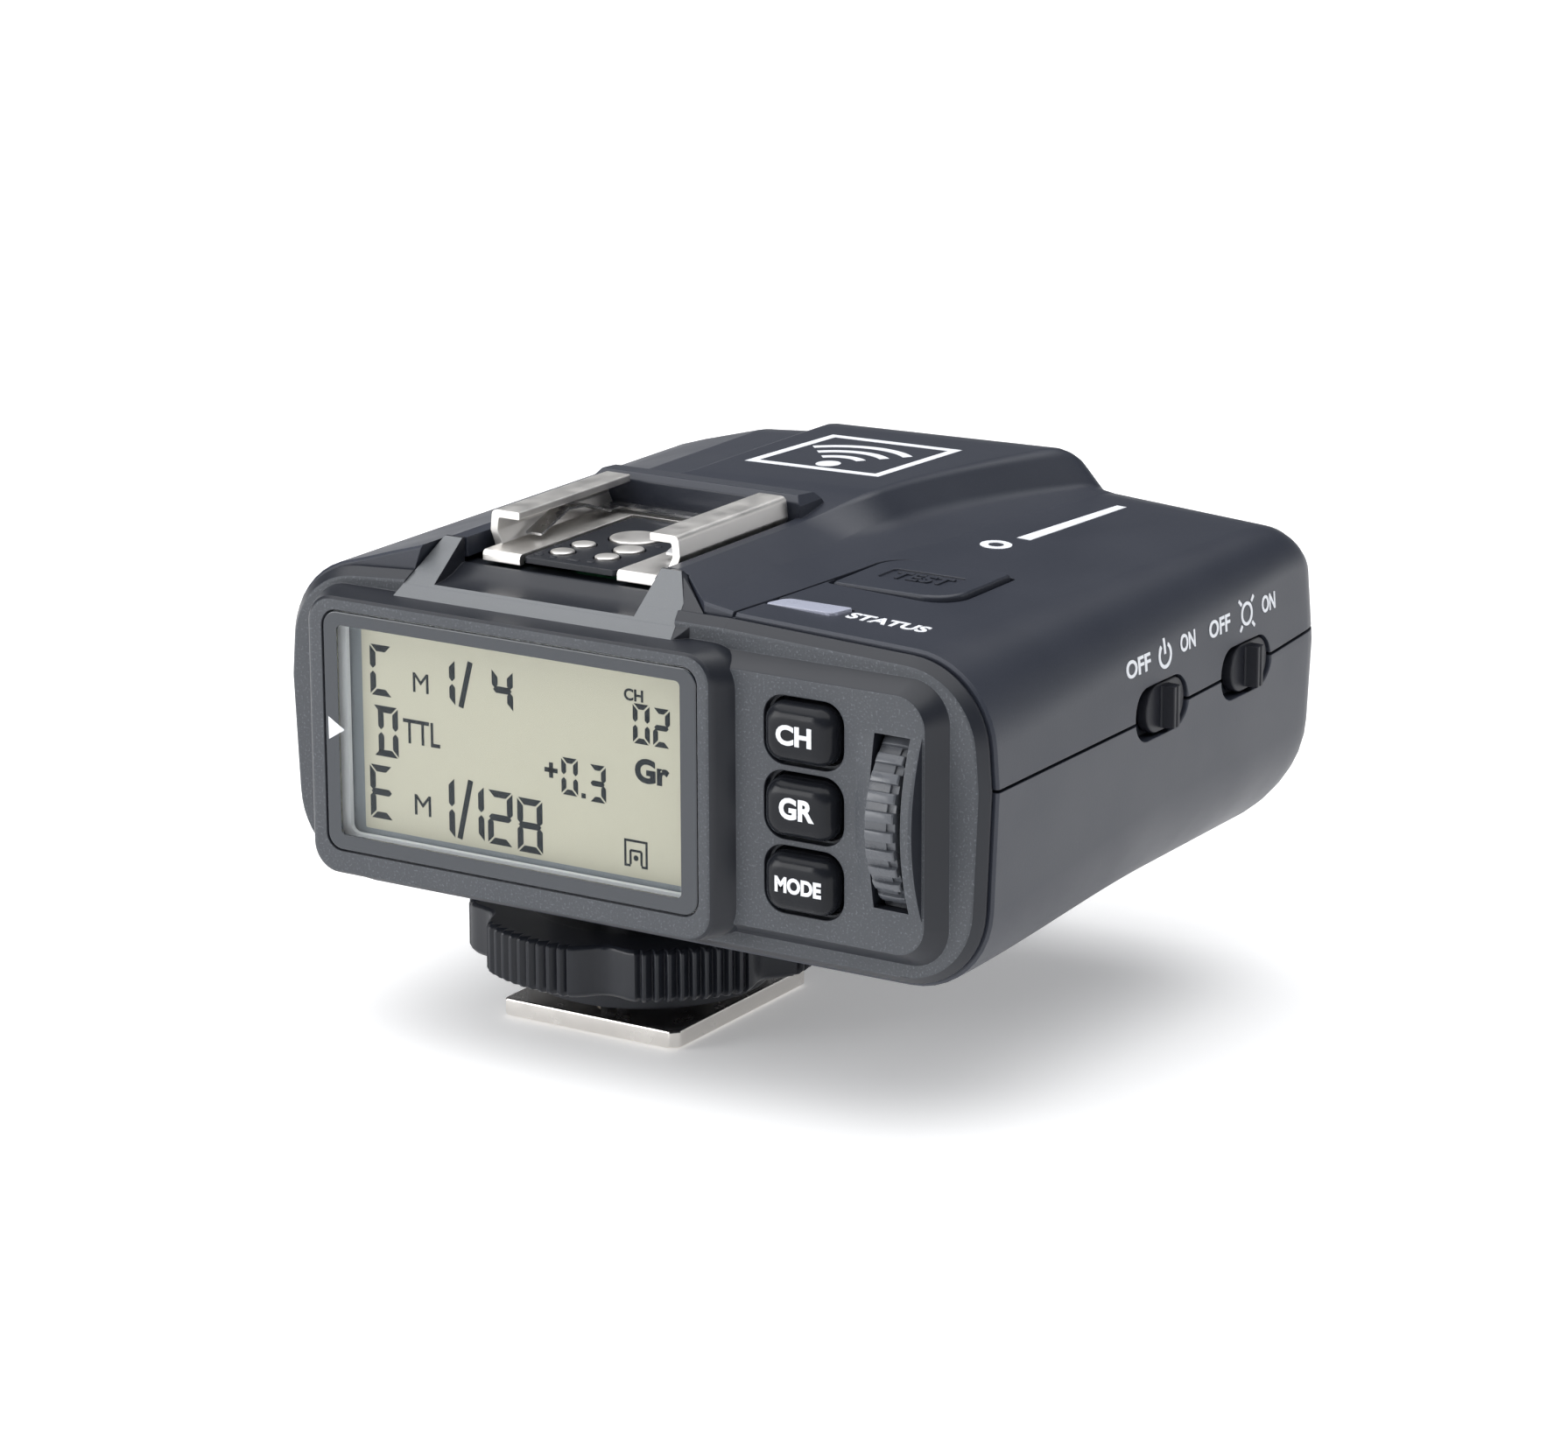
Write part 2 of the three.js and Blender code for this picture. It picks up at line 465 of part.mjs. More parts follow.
// ---------------------------------------------------------------- locking foot
const cut = FOOT.chamfer;
const [fw, fd] = [FOOT.w / 2, FOOT.d / 2];
const footLoop = [[-fw + cut, -fd], [fw - cut, -fd], [fw, -fd + cut], [fw, fd - cut], [fw - cut, fd],
  [-fw + cut, fd], [-fw, fd - cut], [-fw, -fd + cut]];
const pinSpot = [0, -8.2];
let foot = prism('z', footLoop, 0, FOOT.t).subtract(box(-6.3, 6.3, -6.8, 6.8, -1, 1.0));
foot = foot.subtract(rod('z', pinSpot[0], pinSpot[1], 1.1, -1, 3, 16));
add('foot_plate', foot, COLOR.silver, 0.35, 1);

const footPads = [
  ['centre', 0, 2.0, 1.3], ['1', -3.4, -1.8, 0.8], ['2', -1.1, -4.4, 0.8],
  ['3', 1.6, -4.4, 0.8], ['4', 3.9, -1.8, 0.8],
];
let footInsert = box(-6.0, 6.0, -6.5, 6.5, 0, 0.7);
for (const [name, x, y, r] of footPads) {
  footInsert = footInsert.subtract(rod('z', x, y, r + 0.2, -1, 2, 16));
  add(`foot_contact_${name}`, rod('z', x, y, r, 0.0, 0.7, 16), COLOR.gold, 0.3, 1);
}
add('foot_insulator', footInsert, COLOR.black, 0.5);

const stem = rod('z', STEM.x, STEM.y, STEM.r, FOOT.t + 0.2, 15.6, 32)
  .add(rod('z', STEM.x, STEM.y, 8.6, 15.5, 16.8, 32));
add('foot_stem', stem, COLOR.steel, 0.4, 1);

function lockRingSolid() {
  const loop = [];
  const period = (2 * Math.PI) / RING.lobes;
  const knurled = THREE.MathUtils.degToRad(34.5);
  for (let k = 0; k < RING.lobes; k += 1) {
    const start = THREE.MathUtils.degToRad(-117) + k * period;
    for (let i = 0; i < RING.knurls; i += 1) {
      for (const [t, r] of [[0.0, RING.r], [0.45, RING.r], [0.6, RING.r - 0.7], [0.85, RING.r - 0.7]]) {
        const a = start + ((i + t) / RING.knurls) * knurled;
        loop.push([STEM.x + r * Math.cos(a), STEM.y + r * Math.sin(a)]);
      }
    }
    for (let i = 1; i < 6; i += 1) {
      const a = start + knurled + (i / 6) * (period - knurled);
      const r = RING.r - 0.3 - 1.3 * Math.sin((i / 6) * Math.PI);
      loop.push([STEM.x + r * Math.cos(a), STEM.y + r * Math.sin(a)]);
    }
  }
  return prism('z', loop, RING.z0, RING.z1).subtract(rod('z', STEM.x, STEM.y, RING.bore, 0, 20, 32));
}
add('lock_ring', lockRingSolid(), COLOR.slate, 0.6);

let disc = rod('z', STEM.x, STEM.y, DISC.r, DISC.z0, DISC.z1, 36);
disc = disc.subtract(rod('z', STEM.x, STEM.y, RING.bore, 0, 20, 32));
disc = disc.subtract(rod('z', pinSpot[0], pinSpot[1], 1.0, 0, DISC.z0 + 1.2, 16));
add('lock_disc', disc, COLOR.black, 0.5);
add('lock_pin', rod('z', pinSpot[0], pinSpot[1], 0.75, 0.3, DISC.z0 + 0.9, 16), COLOR.silver, 0.3, 1);

// ---------------------------------------------------------------- battery bay
CELL.at.forEach(([y, z], i) => {
  const flip = i === 0 ? 1 : -1;
  const middle = (CELL.x0 + CELL.x1) / 2;
  const reach = (CELL.x1 - CELL.x0) / 2;
  const [first, last] = [middle - reach + (flip < 0 ? 1.2 : 0), middle + reach - (flip > 0 ? 1.2 : 0)];
  const cell = rod('x', y, z, CELL.r, first, last, 28)
    .add(rod('x', y, z, 2.7, middle + flip * (reach - 2), middle + flip * reach, 16));
  add(`battery_cell_${i + 1}`, cell, COLOR.cell, 0.35, 0.2);
});
const [cellA, cellB] = CELL.at;
const bridge = rounded([
  [cellA[0] - 3, cellA[1] - 4, 1], [cellA[0] + 4, cellA[1] - 4, 1], [cellB[0] + 4, cellB[1], 1],
  [cellB[0] + 4, cellB[1] + 4, 1], [cellB[0] - 3, cellB[1] + 4, 1], [cellA[0] - 3, cellA[1] + 3, 1],
], 3);
add('battery_contact_bridge', prism('x', bridge, CELL.x0 - 1.0, CELL.x0 - 0.4), COLOR.nickel, 0.3, 1);
CELL.at.forEach(([y, z], i) => {
  const tab = prism('x', roundRect(y, z, 8, 8, 1.2), CELL.x1 + 0.4, CELL.x1 + 1.0);
  add(`battery_contact_${i === 0 ? 'plus' : 'minus'}`, tab, COLOR.nickel, 0.3, 1);
});

let door = box(DOOR.x0, DOOR.x1, DOOR.y0, DOOR.y1, BODY.zB, 15.0);
door = door.add(box(6.5, 12.5, DOOR.y0 + 1.2, DOOR.y0 + 2.2, 12.9, 13.6));
const hingeArm = [[35.4, 13.6], [36.2, 11.25], [38.7, 11.25], [38.7, 13.1], [37.2, 13.1], [37.2, 13.6]];
for (const x of [-7.4, 26.4]) {
  door = door.add(prism('x', hingeArm, x - 2.1, x + 2.1));
  door = door.add(rod('x', DOOR.hingeY, DOOR.hingeZ, 0.95, x - 2.1, x + 2.1, 16));
}
door = door.subtract(rod('x', DOOR.hingeY, DOOR.hingeZ, 0.6, -20, 40, 12));
add('battery_door', door, COLOR.slate, 0.62);
add('door_hinge_pin', rod('x', DOOR.hingeY, DOOR.hingeZ, 0.4, -13.8, 32.8, 12), COLOR.steel, 0.3, 1);

// ---------------------------------------------------------------- sockets, window, screws
const afWindow = prism('y', roundRect(AF.x, AF.z, AF.w, AF.h, 2.3), 40.5, 42.3)
  .add(prism('y', roundRect(AF.x, AF.z, AF.w + 1.8, AF.h + 1.8, 2.6), 39.7, 40.3))
  .add(prism('y', roundRect(AF.x, AF.z, AF.w - 0.6, AF.h - 0.6, 2.2), 40.2, 40.7));
add('af_lamp_window', afWindow, COLOR.red, 0.15);

const usb = prism('x', roundRect(6.0, 25.0, 7.4, 2.8, 0.7), -27.0, -20.5)
  .subtract(prism('x', roundRect(6.0, 25.0, 6.6, 2.0, 0.5), -28, -21.3));
add('usb_port', usb, COLOR.nickel, 0.3, 1);
const jack = rod('x', 18.0, 25.0, 2.0, -27.0, -19.0, 20).subtract(rod('x', 18.0, 25.0, 1.3, -28, -20, 16));
add('sync_jack', jack, COLOR.black, 0.4);

screwSpots.forEach(([x, y], i) => {
  const screw = rod('z', x, y, 1.75, 13.6, 14.6, 16)
    .add(rod('z', x, y, 0.9, 14.4, 21.0, 12))
    .subtract(box(x - 1.1, x + 1.1, y - 0.2, y + 0.2, 13, 14.1))
    .subtract(box(x - 0.2, x + 0.2, y - 1.1, y + 1.1, 13, 14.1));
  add(`case_screw_${i + 1}`, screw, COLOR.steel, 0.35, 1);
});

export default group;
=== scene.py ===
import math

import bmesh
import bpy
from mathutils import Matrix, Vector
from mathutils.bvhtree import BVHTree


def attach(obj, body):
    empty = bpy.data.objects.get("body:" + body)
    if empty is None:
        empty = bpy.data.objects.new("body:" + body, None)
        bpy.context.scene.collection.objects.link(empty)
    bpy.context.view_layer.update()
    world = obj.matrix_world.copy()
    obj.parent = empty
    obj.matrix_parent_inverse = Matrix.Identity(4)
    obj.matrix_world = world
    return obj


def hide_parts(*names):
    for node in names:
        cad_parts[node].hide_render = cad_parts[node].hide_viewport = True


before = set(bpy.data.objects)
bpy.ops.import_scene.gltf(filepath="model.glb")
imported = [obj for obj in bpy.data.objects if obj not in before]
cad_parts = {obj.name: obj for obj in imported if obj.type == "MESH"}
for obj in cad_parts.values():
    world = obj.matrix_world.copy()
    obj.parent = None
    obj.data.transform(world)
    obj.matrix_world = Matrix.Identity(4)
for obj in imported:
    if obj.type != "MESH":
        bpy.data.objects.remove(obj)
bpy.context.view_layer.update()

# Looks of the wireless flash trigger. Shapes are drawn in millimetres and stored in metres. x runs to the
# right of the display, y away from whoever reads it, and z up from the face of the camera shoe foot.
MM = 0.001
scene = bpy.context.scene
AXES = {"x": (0, 1, 2), "y": (1, 0, 2), "z": (2, 0, 1)}


# ---- loops
def rounded(corners, n=8):
    """Closed loop through (u, v, radius) corners; a rounded corner gives n + 1 points."""
    loop = []
    for i, (u, v, r) in enumerate(corners):
        if r == 0:
            loop.append((u, v))
            continue
        here = Vector((u, v))
        a = (Vector(corners[i - 1][:2]) - here).normalized()
        b = (Vector(corners[(i + 1) % len(corners)][:2]) - here).normalized()
        half = min(math.acos(max(-1, min(1, a.dot(b)))) / 2, math.pi / 2 - 0.01)
        centre = here
        if (a + b).length > 1e-6:
            centre = here + (a + b).normalized() * (r / math.sin(half))
        reach = r / math.tan(half)
        start, end = here + a * reach - centre, here + b * reach - centre
        first = math.atan2(start.y, start.x)
        sweep = math.atan2(end.y, end.x) - first
        sweep -= 2 * math.pi * round(sweep / (2 * math.pi))
        for k in range(n + 1):
            t = first + sweep * k / n
            loop.append((centre.x + r * math.cos(t), centre.y + r * math.sin(t)))
    return loop


def rect(u0, u1, v0, v1, r=0.0, n=8):
    return rounded([(u0, v0, r), (u1, v0, r), (u1, v1, r), (u0, v1, r)], n)


def mid_rect(u, v, w, h, r, n=8):
    return rect(u - w / 2, u + w / 2, v - h / 2, v + h / 2, r, n)


def grown(u, v, w, h, r, n=8):
    """Function that gives a centred rectangle grown on all sides, for pocket()."""
    return lambda grow: mid_rect(u, v, w + 2 * grow, h + 2 * grow, r + grow, n)


def leaf(u, v, w, d, sharp, soft, skew=0.0, n=8):
    """Plate outline with two sharp and two soft corners, opposite each other."""
    a, b = w / 2, d / 2
    return rounded([(u - a, v - b, sharp), (u + a - skew, v - b, soft), (u + a, v + b, sharp),
                    (u - a + skew, v + b, soft)], n)


def circle(u, v, r, n=48):
    angles = [2 * math.pi * i / n for i in range(n)]
    return [(u + r * math.cos(a), v + r * math.sin(a)) for a in angles]


# ---- meshes
def add_object(name, data):
    obj = bpy.data.objects.new(name, data)
    scene.collection.objects.link(obj)
    return obj


def make(name, vertices, faces):
    """Mesh object from points in mm, with its normals facing out."""
    mesh = bpy.data.meshes.new(name)
    mesh.from_pydata([Vector(v) * MM for v in vertices], [], faces)
    work = bmesh.new()
    work.from_mesh(mesh)
    bmesh.ops.recalc_face_normals(work, faces=work.faces)
    work.to_mesh(mesh)
    work.free()
    return add_object(name, mesh)


def skin(name, rings):
    """Closed solid through rings of 3-D points, with a flat face at each end."""
    n = len(rings[0])
    vertices = [p for ring in rings for p in ring]
    faces = []
    for s in range(len(rings) - 1):
        for i in range(n):
            j = (i + 1) % n
            faces.append((s * n + i, s * n + j, (s + 1) * n + j, (s + 1) * n + i))
    faces.append(tuple(range(n)))
    last = (len(rings) - 1) * n
    faces.append(tuple(last + i for i in range(n)))
    return make(name, vertices, faces)


def loft(name, axis, sections):
    """Closed solid through flat loops; sections is [(place along the axis, loop), ...]."""
    a, b, c = AXES[axis]
    rings = []
    for at, loop in sections:
        area = sum(p[0] * q[1] - q[0] * p[1] for p, q in zip(loop, loop[1:] + loop[:1]))
        ring = []
        for u, v in loop if area > 0 else list(loop)[::-1]:
            p = [0, 0, 0]
            p[a], p[b], p[c] = at, u, v
            ring.append(p)
        rings.append(ring)
    return skin(name, rings)


def stack(name, axis, rows, loop_at):
    """Solid through rows of (place, sizes for loop_at ...)."""
    return loft(name, axis, [(at, loop_at(*sizes)) for at, *sizes in rows])


def prism(axis, loop, a, b, name="tool"):
    return loft(name, axis, [(a, loop), (b, loop)])


def rod(axis, u, v, r, a, b, n=32):
    return prism(axis, circle(u, v, r, n), a, b)


def block(x0, x1, y0, y1, z0, z1, name="tool"):
    return prism("z", rect(x0, x1, y0, y1), z0, z1, name)


def revolve(name, axis, u, v, profile, n=64):
    """Solid of revolution round an axis through (u, v); profile is [(radius, along), ...]."""
    return loft(name, axis, [(along, circle(u, v, r, n)) for r, along in profile])


def hull(name, points):
    """Smallest convex solid round the points."""
    work = bmesh.new()
    for p in points:
        work.verts.new(Vector(p) * MM)
    made = bmesh.ops.convex_hull(work, input=work.verts)
    inside = [v for v in made["geom_interior"] if isinstance(v, bmesh.types.BMVert)]
    bmesh.ops.delete(work, geom=inside, context="VERTS")
    mesh = bpy.data.meshes.new(name)
    work.to_mesh(mesh)
    work.free()
    return add_object(name, mesh)


def bake(obj):
    """Apply the modifiers of an object."""
    view = bpy.context.evaluated_depsgraph_get()
    mesh = bpy.data.meshes.new_from_object(obj.evaluated_get(view))
    old = obj.data
    obj.modifiers.clear()
    obj.data = mesh
    bpy.data.meshes.remove(old)
    return obj


def combine(obj, tools, operation="DIFFERENCE"):
    for tool in tools:
        modifier = obj.modifiers.new("combine", "BOOLEAN")
        modifier.operation = operation
        modifier.object = tool
        modifier.solver = "EXACT"
    bake(obj)
    for tool in tools:
        bpy.data.objects.remove(tool)
    return obj


def cut(obj, *tools):
    return combine(obj, tools)


def join(obj, *tools):
    return combine(obj, tools, "UNION")


def bevel(obj, width, segments=3, angle=30):
    modifier = obj.modifiers.new("bevel", "BEVEL")
    modifier.width = width * MM
    modifier.segments = segments
    modifier.limit_method = "ANGLE"
    modifier.angle_limit = math.radians(angle)
    modifier.use_clamp_overlap = True
    return bake(obj)


def smooth(obj, angle=32):
    """Smooth shading that stays crisp at edges sharper than the angle."""
    mesh = obj.data
    mesh.polygons.foreach_set("use_smooth", [True] * len(mesh.polygons))
    mesh.set_sharp_from_angle(angle=math.radians(angle))
    modifier = obj.modifiers.new("normals", "WEIGHTED_NORMAL")
    modifier.keep_sharp = True
    modifier.weight = 60
    return obj


def pocket(axis, loop_at, mouth, floor, lip=0.15, steps=3):
    """Cutting tool whose mouth opens with a small rounded lip; loop_at(grow) gives its loop."""
    sign = 1 if mouth > floor else -1
    sections = [(floor, loop_at(0))]
    for k in range(steps + 1):
        t = math.pi / 2 * k / steps
        sections.append((mouth - sign * lip * (1 - math.sin(t)), loop_at(lip * (1 - math.cos(t)))))
    sections.append((mouth + sign * 0.6, loop_at(lip + 0.4)))
    return loft("tool", axis, sections)


# ---- materials
class Graph:
    """Node tree of a material or world, emptied for new nodes."""

    def __init__(self, owner):
        owner.use_nodes = True
        self.tree = owner.node_tree
        self.tree.nodes.clear()

    def node(self, kind, inputs=None, **attributes):
        made = self.tree.nodes.new(kind)
        for key, value in (inputs or {}).items():
            made.inputs[key].default_value = value
        for key, value in attributes.items():
            setattr(made, key, value)
        return made

    def link(self, source, target):
        self.tree.links.new(source, target)

    def remap(self, source, low, high, to_low, to_high):
        limits = {"From Min": low, "From Max": high, "To Min": to_low, "To Max": to_high}
        made = self.node("ShaderNodeMapRange", limits)
        self.link(source, made.inputs[0])
        return made.outputs[0]

    def lighten(self, base, amount, pale):
        """Mix a paler colour into the base colour by the given amount."""
        made = self.node("ShaderNodeMix", {7: (*[min(1, c) for c in pale], 1)}, data_type="RGBA")
        self.link(amount, made.inputs[0])
        self.link(base, made.inputs[6])
        return made.outputs[2]


def surface(name, color, rough, metal=0.0, grain=(0.3, 0.01), mottle=(6.0, 0.06), vary=0.05, fleck=0.0,
            edge=0.0, coat=0.0, radius=0.12, spec=0.5, glow=0.0):
    """Moulded or plated surface. grain is the size and height of its fine bumps, mottle the size and strength
    of its colour patches, fleck the share of pale specks, and edge the strength of a painted highlight on
    edges of the given radius."""
    material = bpy.data.materials.new(name)
    graph = Graph(material)
    out = graph.node("ShaderNodeOutputMaterial")
    shader = graph.node("ShaderNodeBsdfPrincipled", {
        "Metallic": metal, "Specular IOR Level": spec, "Coat Weight": coat, "Coat Roughness": 0.12,
        "Emission Strength": glow})
    graph.link(shader.outputs[0], out.inputs[0])
    coords = graph.node("ShaderNodeTexCoord")
    fine = graph.node("ShaderNodeTexNoise", {"Scale": 1 / (grain[0] * MM), "Detail": 2.0})
    broad = graph.node("ShaderNodeTexNoise", {"Scale": 1 / (mottle[0] * MM), "Detail": 3.0})
    for noise in (fine, broad):
        graph.link(coords.outputs["Object"], noise.inputs["Vector"])
    low = [c * (1 - mottle[1]) for c in color]
    high = [min(1, c * (1 + mottle[1])) for c in color]
    tint = graph.node("ShaderNodeMix", {6: (*low, 1), 7: (*high, 1)}, data_type="RGBA")
    graph.link(broad.outputs[0], tint.inputs[0])
    last = tint.outputs[2]
    if fleck:
        specks = graph.remap(fine.outputs[0], 0.56, 0.72, 0.0, fleck)
        last = graph.lighten(last, specks, [c * 2.6 + 0.04 for c in color])
    polish = graph.remap(broad.outputs[0], 0.3, 0.7, max(0.02, rough - vary), min(1, rough + vary))
    graph.link(polish, shader.inputs["Roughness"])
    bump = graph.node("ShaderNodeBump", {"Strength": 1.0, "Distance": grain[1] * MM})
    graph.link(fine.outputs[0], bump.inputs["Height"])
    # Painted highlight: near an edge, within the radius, the colour is mixed towards a paler one by up to
    # edge.
    if edge:
        round_edge = graph.node("ShaderNodeBevel", {"Radius": radius * MM}, samples=4)
        geometry = graph.node("ShaderNodeNewGeometry")
        dot = graph.node("ShaderNodeVectorMath", operation="DOT_PRODUCT")
        graph.link(round_edge.outputs[0], dot.inputs[0])
        graph.link(geometry.outputs["Normal"], dot.inputs[1])
        edge_highlight = graph.remap(dot.outputs["Value"], 0.98, 0.82, 0.0, edge)
        last = graph.lighten(last, edge_highlight, [c * 2.2 + 0.03 for c in color])
        graph.link(round_edge.outputs[0], bump.inputs["Normal"])
    graph.link(last, shader.inputs["Base Color"])
    graph.link(bump.outputs[0], shader.inputs["Normal"])
    return material


def clear_sheet(name, color, weight):
    """Thin clear sheet: see-through, with a gloss that grows towards grazing angles."""
    material = bpy.data.materials.new(name)
    graph = Graph(material)
    out = graph.node("ShaderNodeOutputMaterial")
    blend = graph.node("ShaderNodeMixShader")
    clear = graph.node("ShaderNodeBsdfTransparent", {0: (*color, 1)})
    gloss = graph.node("ShaderNodeBsdfGlossy")
    fresnel = graph.node("ShaderNodeFresnel", {"IOR": 1.45})
    scale = graph.node("ShaderNodeMath", {1: weight}, operation="MULTIPLY")
    coords = graph.node("ShaderNodeTexCoord")
    haze = graph.node("ShaderNodeTexNoise", {"Scale": 180})
    graph.link(coords.outputs["Object"], haze.inputs["Vector"])
    graph.link(graph.remap(haze.outputs[0], 0, 1, 0.02, 0.09), gloss.inputs["Roughness"])
    graph.link(fresnel.outputs[0], scale.inputs[0])
    graph.link(scale.outputs[0], blend.inputs[0])
    graph.link(clear.outputs[0], blend.inputs[1])
    graph.link(gloss.outputs[0], blend.inputs[2])
    graph.link(blend.outputs[0], out.inputs[0])
    return material


# edge= below sets the strength of the painted highlight along the edges of each surface.
SLATE = surface("slate_plastic", (0.026, 0.030, 0.043), 0.40, spec=0.42, grain=(0.16, 0.006),
                mottle=(9, 0.05), vary=0.03, fleck=0.05, edge=0.25)
DARK = surface("smooth_dark_plastic", (0.015, 0.017, 0.023), 0.36, spec=0.35, grain=(0.12, 0.003),
               mottle=(8, 0.05), vary=0.03, edge=0.7)
SPARK = surface("sparked_grey_plastic", (0.048, 0.053, 0.062), 0.60, grain=(0.22, 0.035), mottle=(7, 0.05),
                fleck=0.42, edge=0.8)
# Paler grey of the ramp's slope: a painted highlight on the faces that look forward and up.
SLOPE_HIGHLIGHT = surface("slope_painted_highlight", (0.135, 0.143, 0.152), 0.46, grain=(0.14, 0.006), mottle=(8, 0.05),
                fleck=0.04, edge=0.3)
SURROUND = surface("display_surround", (0.18, 0.205, 0.22), 0.4, grain=(0.3, 0.002), mottle=(9, 0.05))
KEY_BLACK = surface("glossy_black_key", (0.010, 0.011, 0.014), 0.22, spec=0.18, grain=(0.10, 0.002),
                    mottle=(4, 0.08), vary=0.04, edge=0.25)
DIAL_BLACK = surface("dial_black", (0.080, 0.086, 0.098), 0.30, grain=(0.14, 0.006), mottle=(3, 0.10),
                     vary=0.08, edge=0.5, radius=0.08)
SWITCH = surface("switch_plastic", (0.014, 0.015, 0.020), 0.36, spec=0.2, grain=(0.14, 0.005), edge=0.3,
                 mottle=(4, 0.06))
# Black of the small dark parts; on the lock pin it is also painted shade, keeping the pin dark in its gap
# under the disc.
BLACK_PARTS_AND_SHADE = surface("shadow_black", (0.012, 0.012, 0.014), 0.6, grain=(0.12, 0.01), mottle=(3, 0.12),
                  edge=0.3)
INK = surface("white_print", (0.78, 0.80, 0.84), 0.55, grain=(0.08, 0.002), mottle=(1.2, 0.04))
BORDER = surface("window_print", (0.022, 0.027, 0.035), 0.09, grain=(2.0, 0.0004), mottle=(12, 0.05),
                 vary=0.02, coat=0.35)
LCD = surface("liquid_crystal", (0.455, 0.44, 0.335), 0.45, grain=(0.12, 0.0008), mottle=(14, 0.05),
              vary=0.03)
SEGMENT = surface("lcd_segment", (0.010, 0.015, 0.019), 0.6, spec=0.08, grain=(0.2, 0.0006),
                  mottle=(4, 0.10), vary=0.03)
NICKEL = surface("nickel_plate", (0.82, 0.80, 0.77), 0.42, 1.0, grain=(0.10, 0.003), mottle=(2.2, 0.06),
                 edge=0.4, radius=0.08)
FOOT = surface("foot_metal", (0.84, 0.81, 0.77), 0.24, 1.0, grain=(0.14, 0.003), mottle=(1.8, 0.05),
               edge=0.4, radius=0.10)
STEEL = surface("spring_steel", (0.55, 0.55, 0.56), 0.24, 1.0, grain=(0.2, 0.004), mottle=(1.5, 0.12),
                vary=0.08)
STEM_STEEL = surface("stem_steel", (0.12, 0.12, 0.13), 0.34, 1.0, grain=(0.2, 0.004), mottle=(1.5, 0.12),
                     vary=0.06)
GOLD = surface("gold_contact", (0.80, 0.60, 0.26), 0.22, 1.0, grain=(0.2, 0.003), mottle=(1.0, 0.10),
               vary=0.06)
BOARD = surface("circuit_board", (0.020, 0.110, 0.050), 0.40, grain=(0.5, 0.02), mottle=(1.4, 0.35),
                vary=0.08)
WHITE = surface("light_guide", (0.80, 0.82, 0.82), 0.35, grain=(0.4, 0.006), mottle=(3, 0.04))
LENS = surface("status_lens", (0.42, 0.44, 0.54), 0.30, grain=(0.3, 0.004), mottle=(2.4, 0.05), coat=0.3)
RED = surface("red_window", (0.085, 0.003, 0.005), 0.16, grain=(1.5, 0.002), mottle=(5, 0.15), vary=0.03,
              spec=0.3)
CELL = surface("cell_label", (0.03, 0.10, 0.28), 0.32, 0.1, grain=(0.5, 0.003), mottle=(7, 0.12))
CLEAR = clear_sheet("clear_window", (0.98, 0.985, 0.99), 0.22)


def dress(obj, body, slot, material, *nodes):
    """Finish a piece: its material, the body it rides on and the CAD nodes that it replaces. The slot is not
    used.
    """
    if not obj.data.materials:
        obj.data.materials.append(material)
    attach(obj, body)
    if nodes:
        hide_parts(*nodes)
    return obj


# ---- case outline
LEFT_X, RIGHT_X, FRONT_Y, REAR_Y = -27.3, 46.8, -18.5, 42.5
BASE_Z, SPLIT_Z, EDGE_Z, DECK_Z = 13.4, 32.0, 43.0, 44.0
CORNER, DRAFT, WALL, SEAM = 8.2, 0.8, 1.8, 0.3
DECK_LEFT, DECK_RIGHT = -11.2, 20.4

# Top outline from the right foot of the hump to the left one, as (x, z, radius): the hump round the shoe, the
# front of the raised head, and the rear of the head.
HUMP = [(21.0, 43.95, .3), (16.6, 44.65, 5), (12.4, 46.0, .5), (-11.6, 46.0, .5), (-13.0, 45.55, 1),
        (-15.8, 44.75, 2), (-19.0, 43.75, .5)]
HEAD = [(22.8, 43.87, 2.5), (17.6, 44.7, 3.2), (15.0, 47.5, 1.3), (-5.0, 47.0, .9), (-7.2, 45.9, .9),
        (-12.4, 45.5, 2), (-19.0, 43.8, .5)]
TAIL = [(26.2, 43.76, .8), (24.3, 44.1, 1.3), (21.4, 47.5, 2.3), (-4.6, 47.0, 1.0), (-7.4, 45.9, .9),
        (-12.6, 45.5, 2), (-19.0, 43.8, .5)]
HEAD_Y, TAIL_LENGTH, TOP_MIDDLE = 15, 25, 3.9


def between(a, b, t):
    return tuple(p + (q - p) * t for p, q in zip(a, b))


def ease(t):
    t = max(0.0, min(1.0, t))
    return t * t * (3 - 2 * t)


def top_line(y):
    """Top outline at depth y."""
    if y < HEAD_Y:
        a, b, t = HUMP, HEAD, ease((y - 5.0) / 10.0)
    else:
        a, b, t = HEAD, TAIL, ((y - HEAD_Y) / TAIL_LENGTH) ** 1.6
    return [between(p, q, t) for p, q in zip(a, b)]


def top_radius(y):
    return CORNER - 3.9 * max(0.0, min(1.0, (y + 14) / 50))


def corner_arc(inset, r):
    """Upper left corner of the case, from just below the foot of the hump."""
    corners = [(RIGHT_X - DRAFT - inset, EDGE_Z - inset, 0), (DECK_RIGHT, DECK_Z - inset, 0),
               (DECK_LEFT, DECK_Z - inset, 0), (LEFT_X + DRAFT + inset, EDGE_Z - inset, r),
               (LEFT_X + inset, SPLIT_Z, 0)]
    return rounded(corners, 10)[5:14]


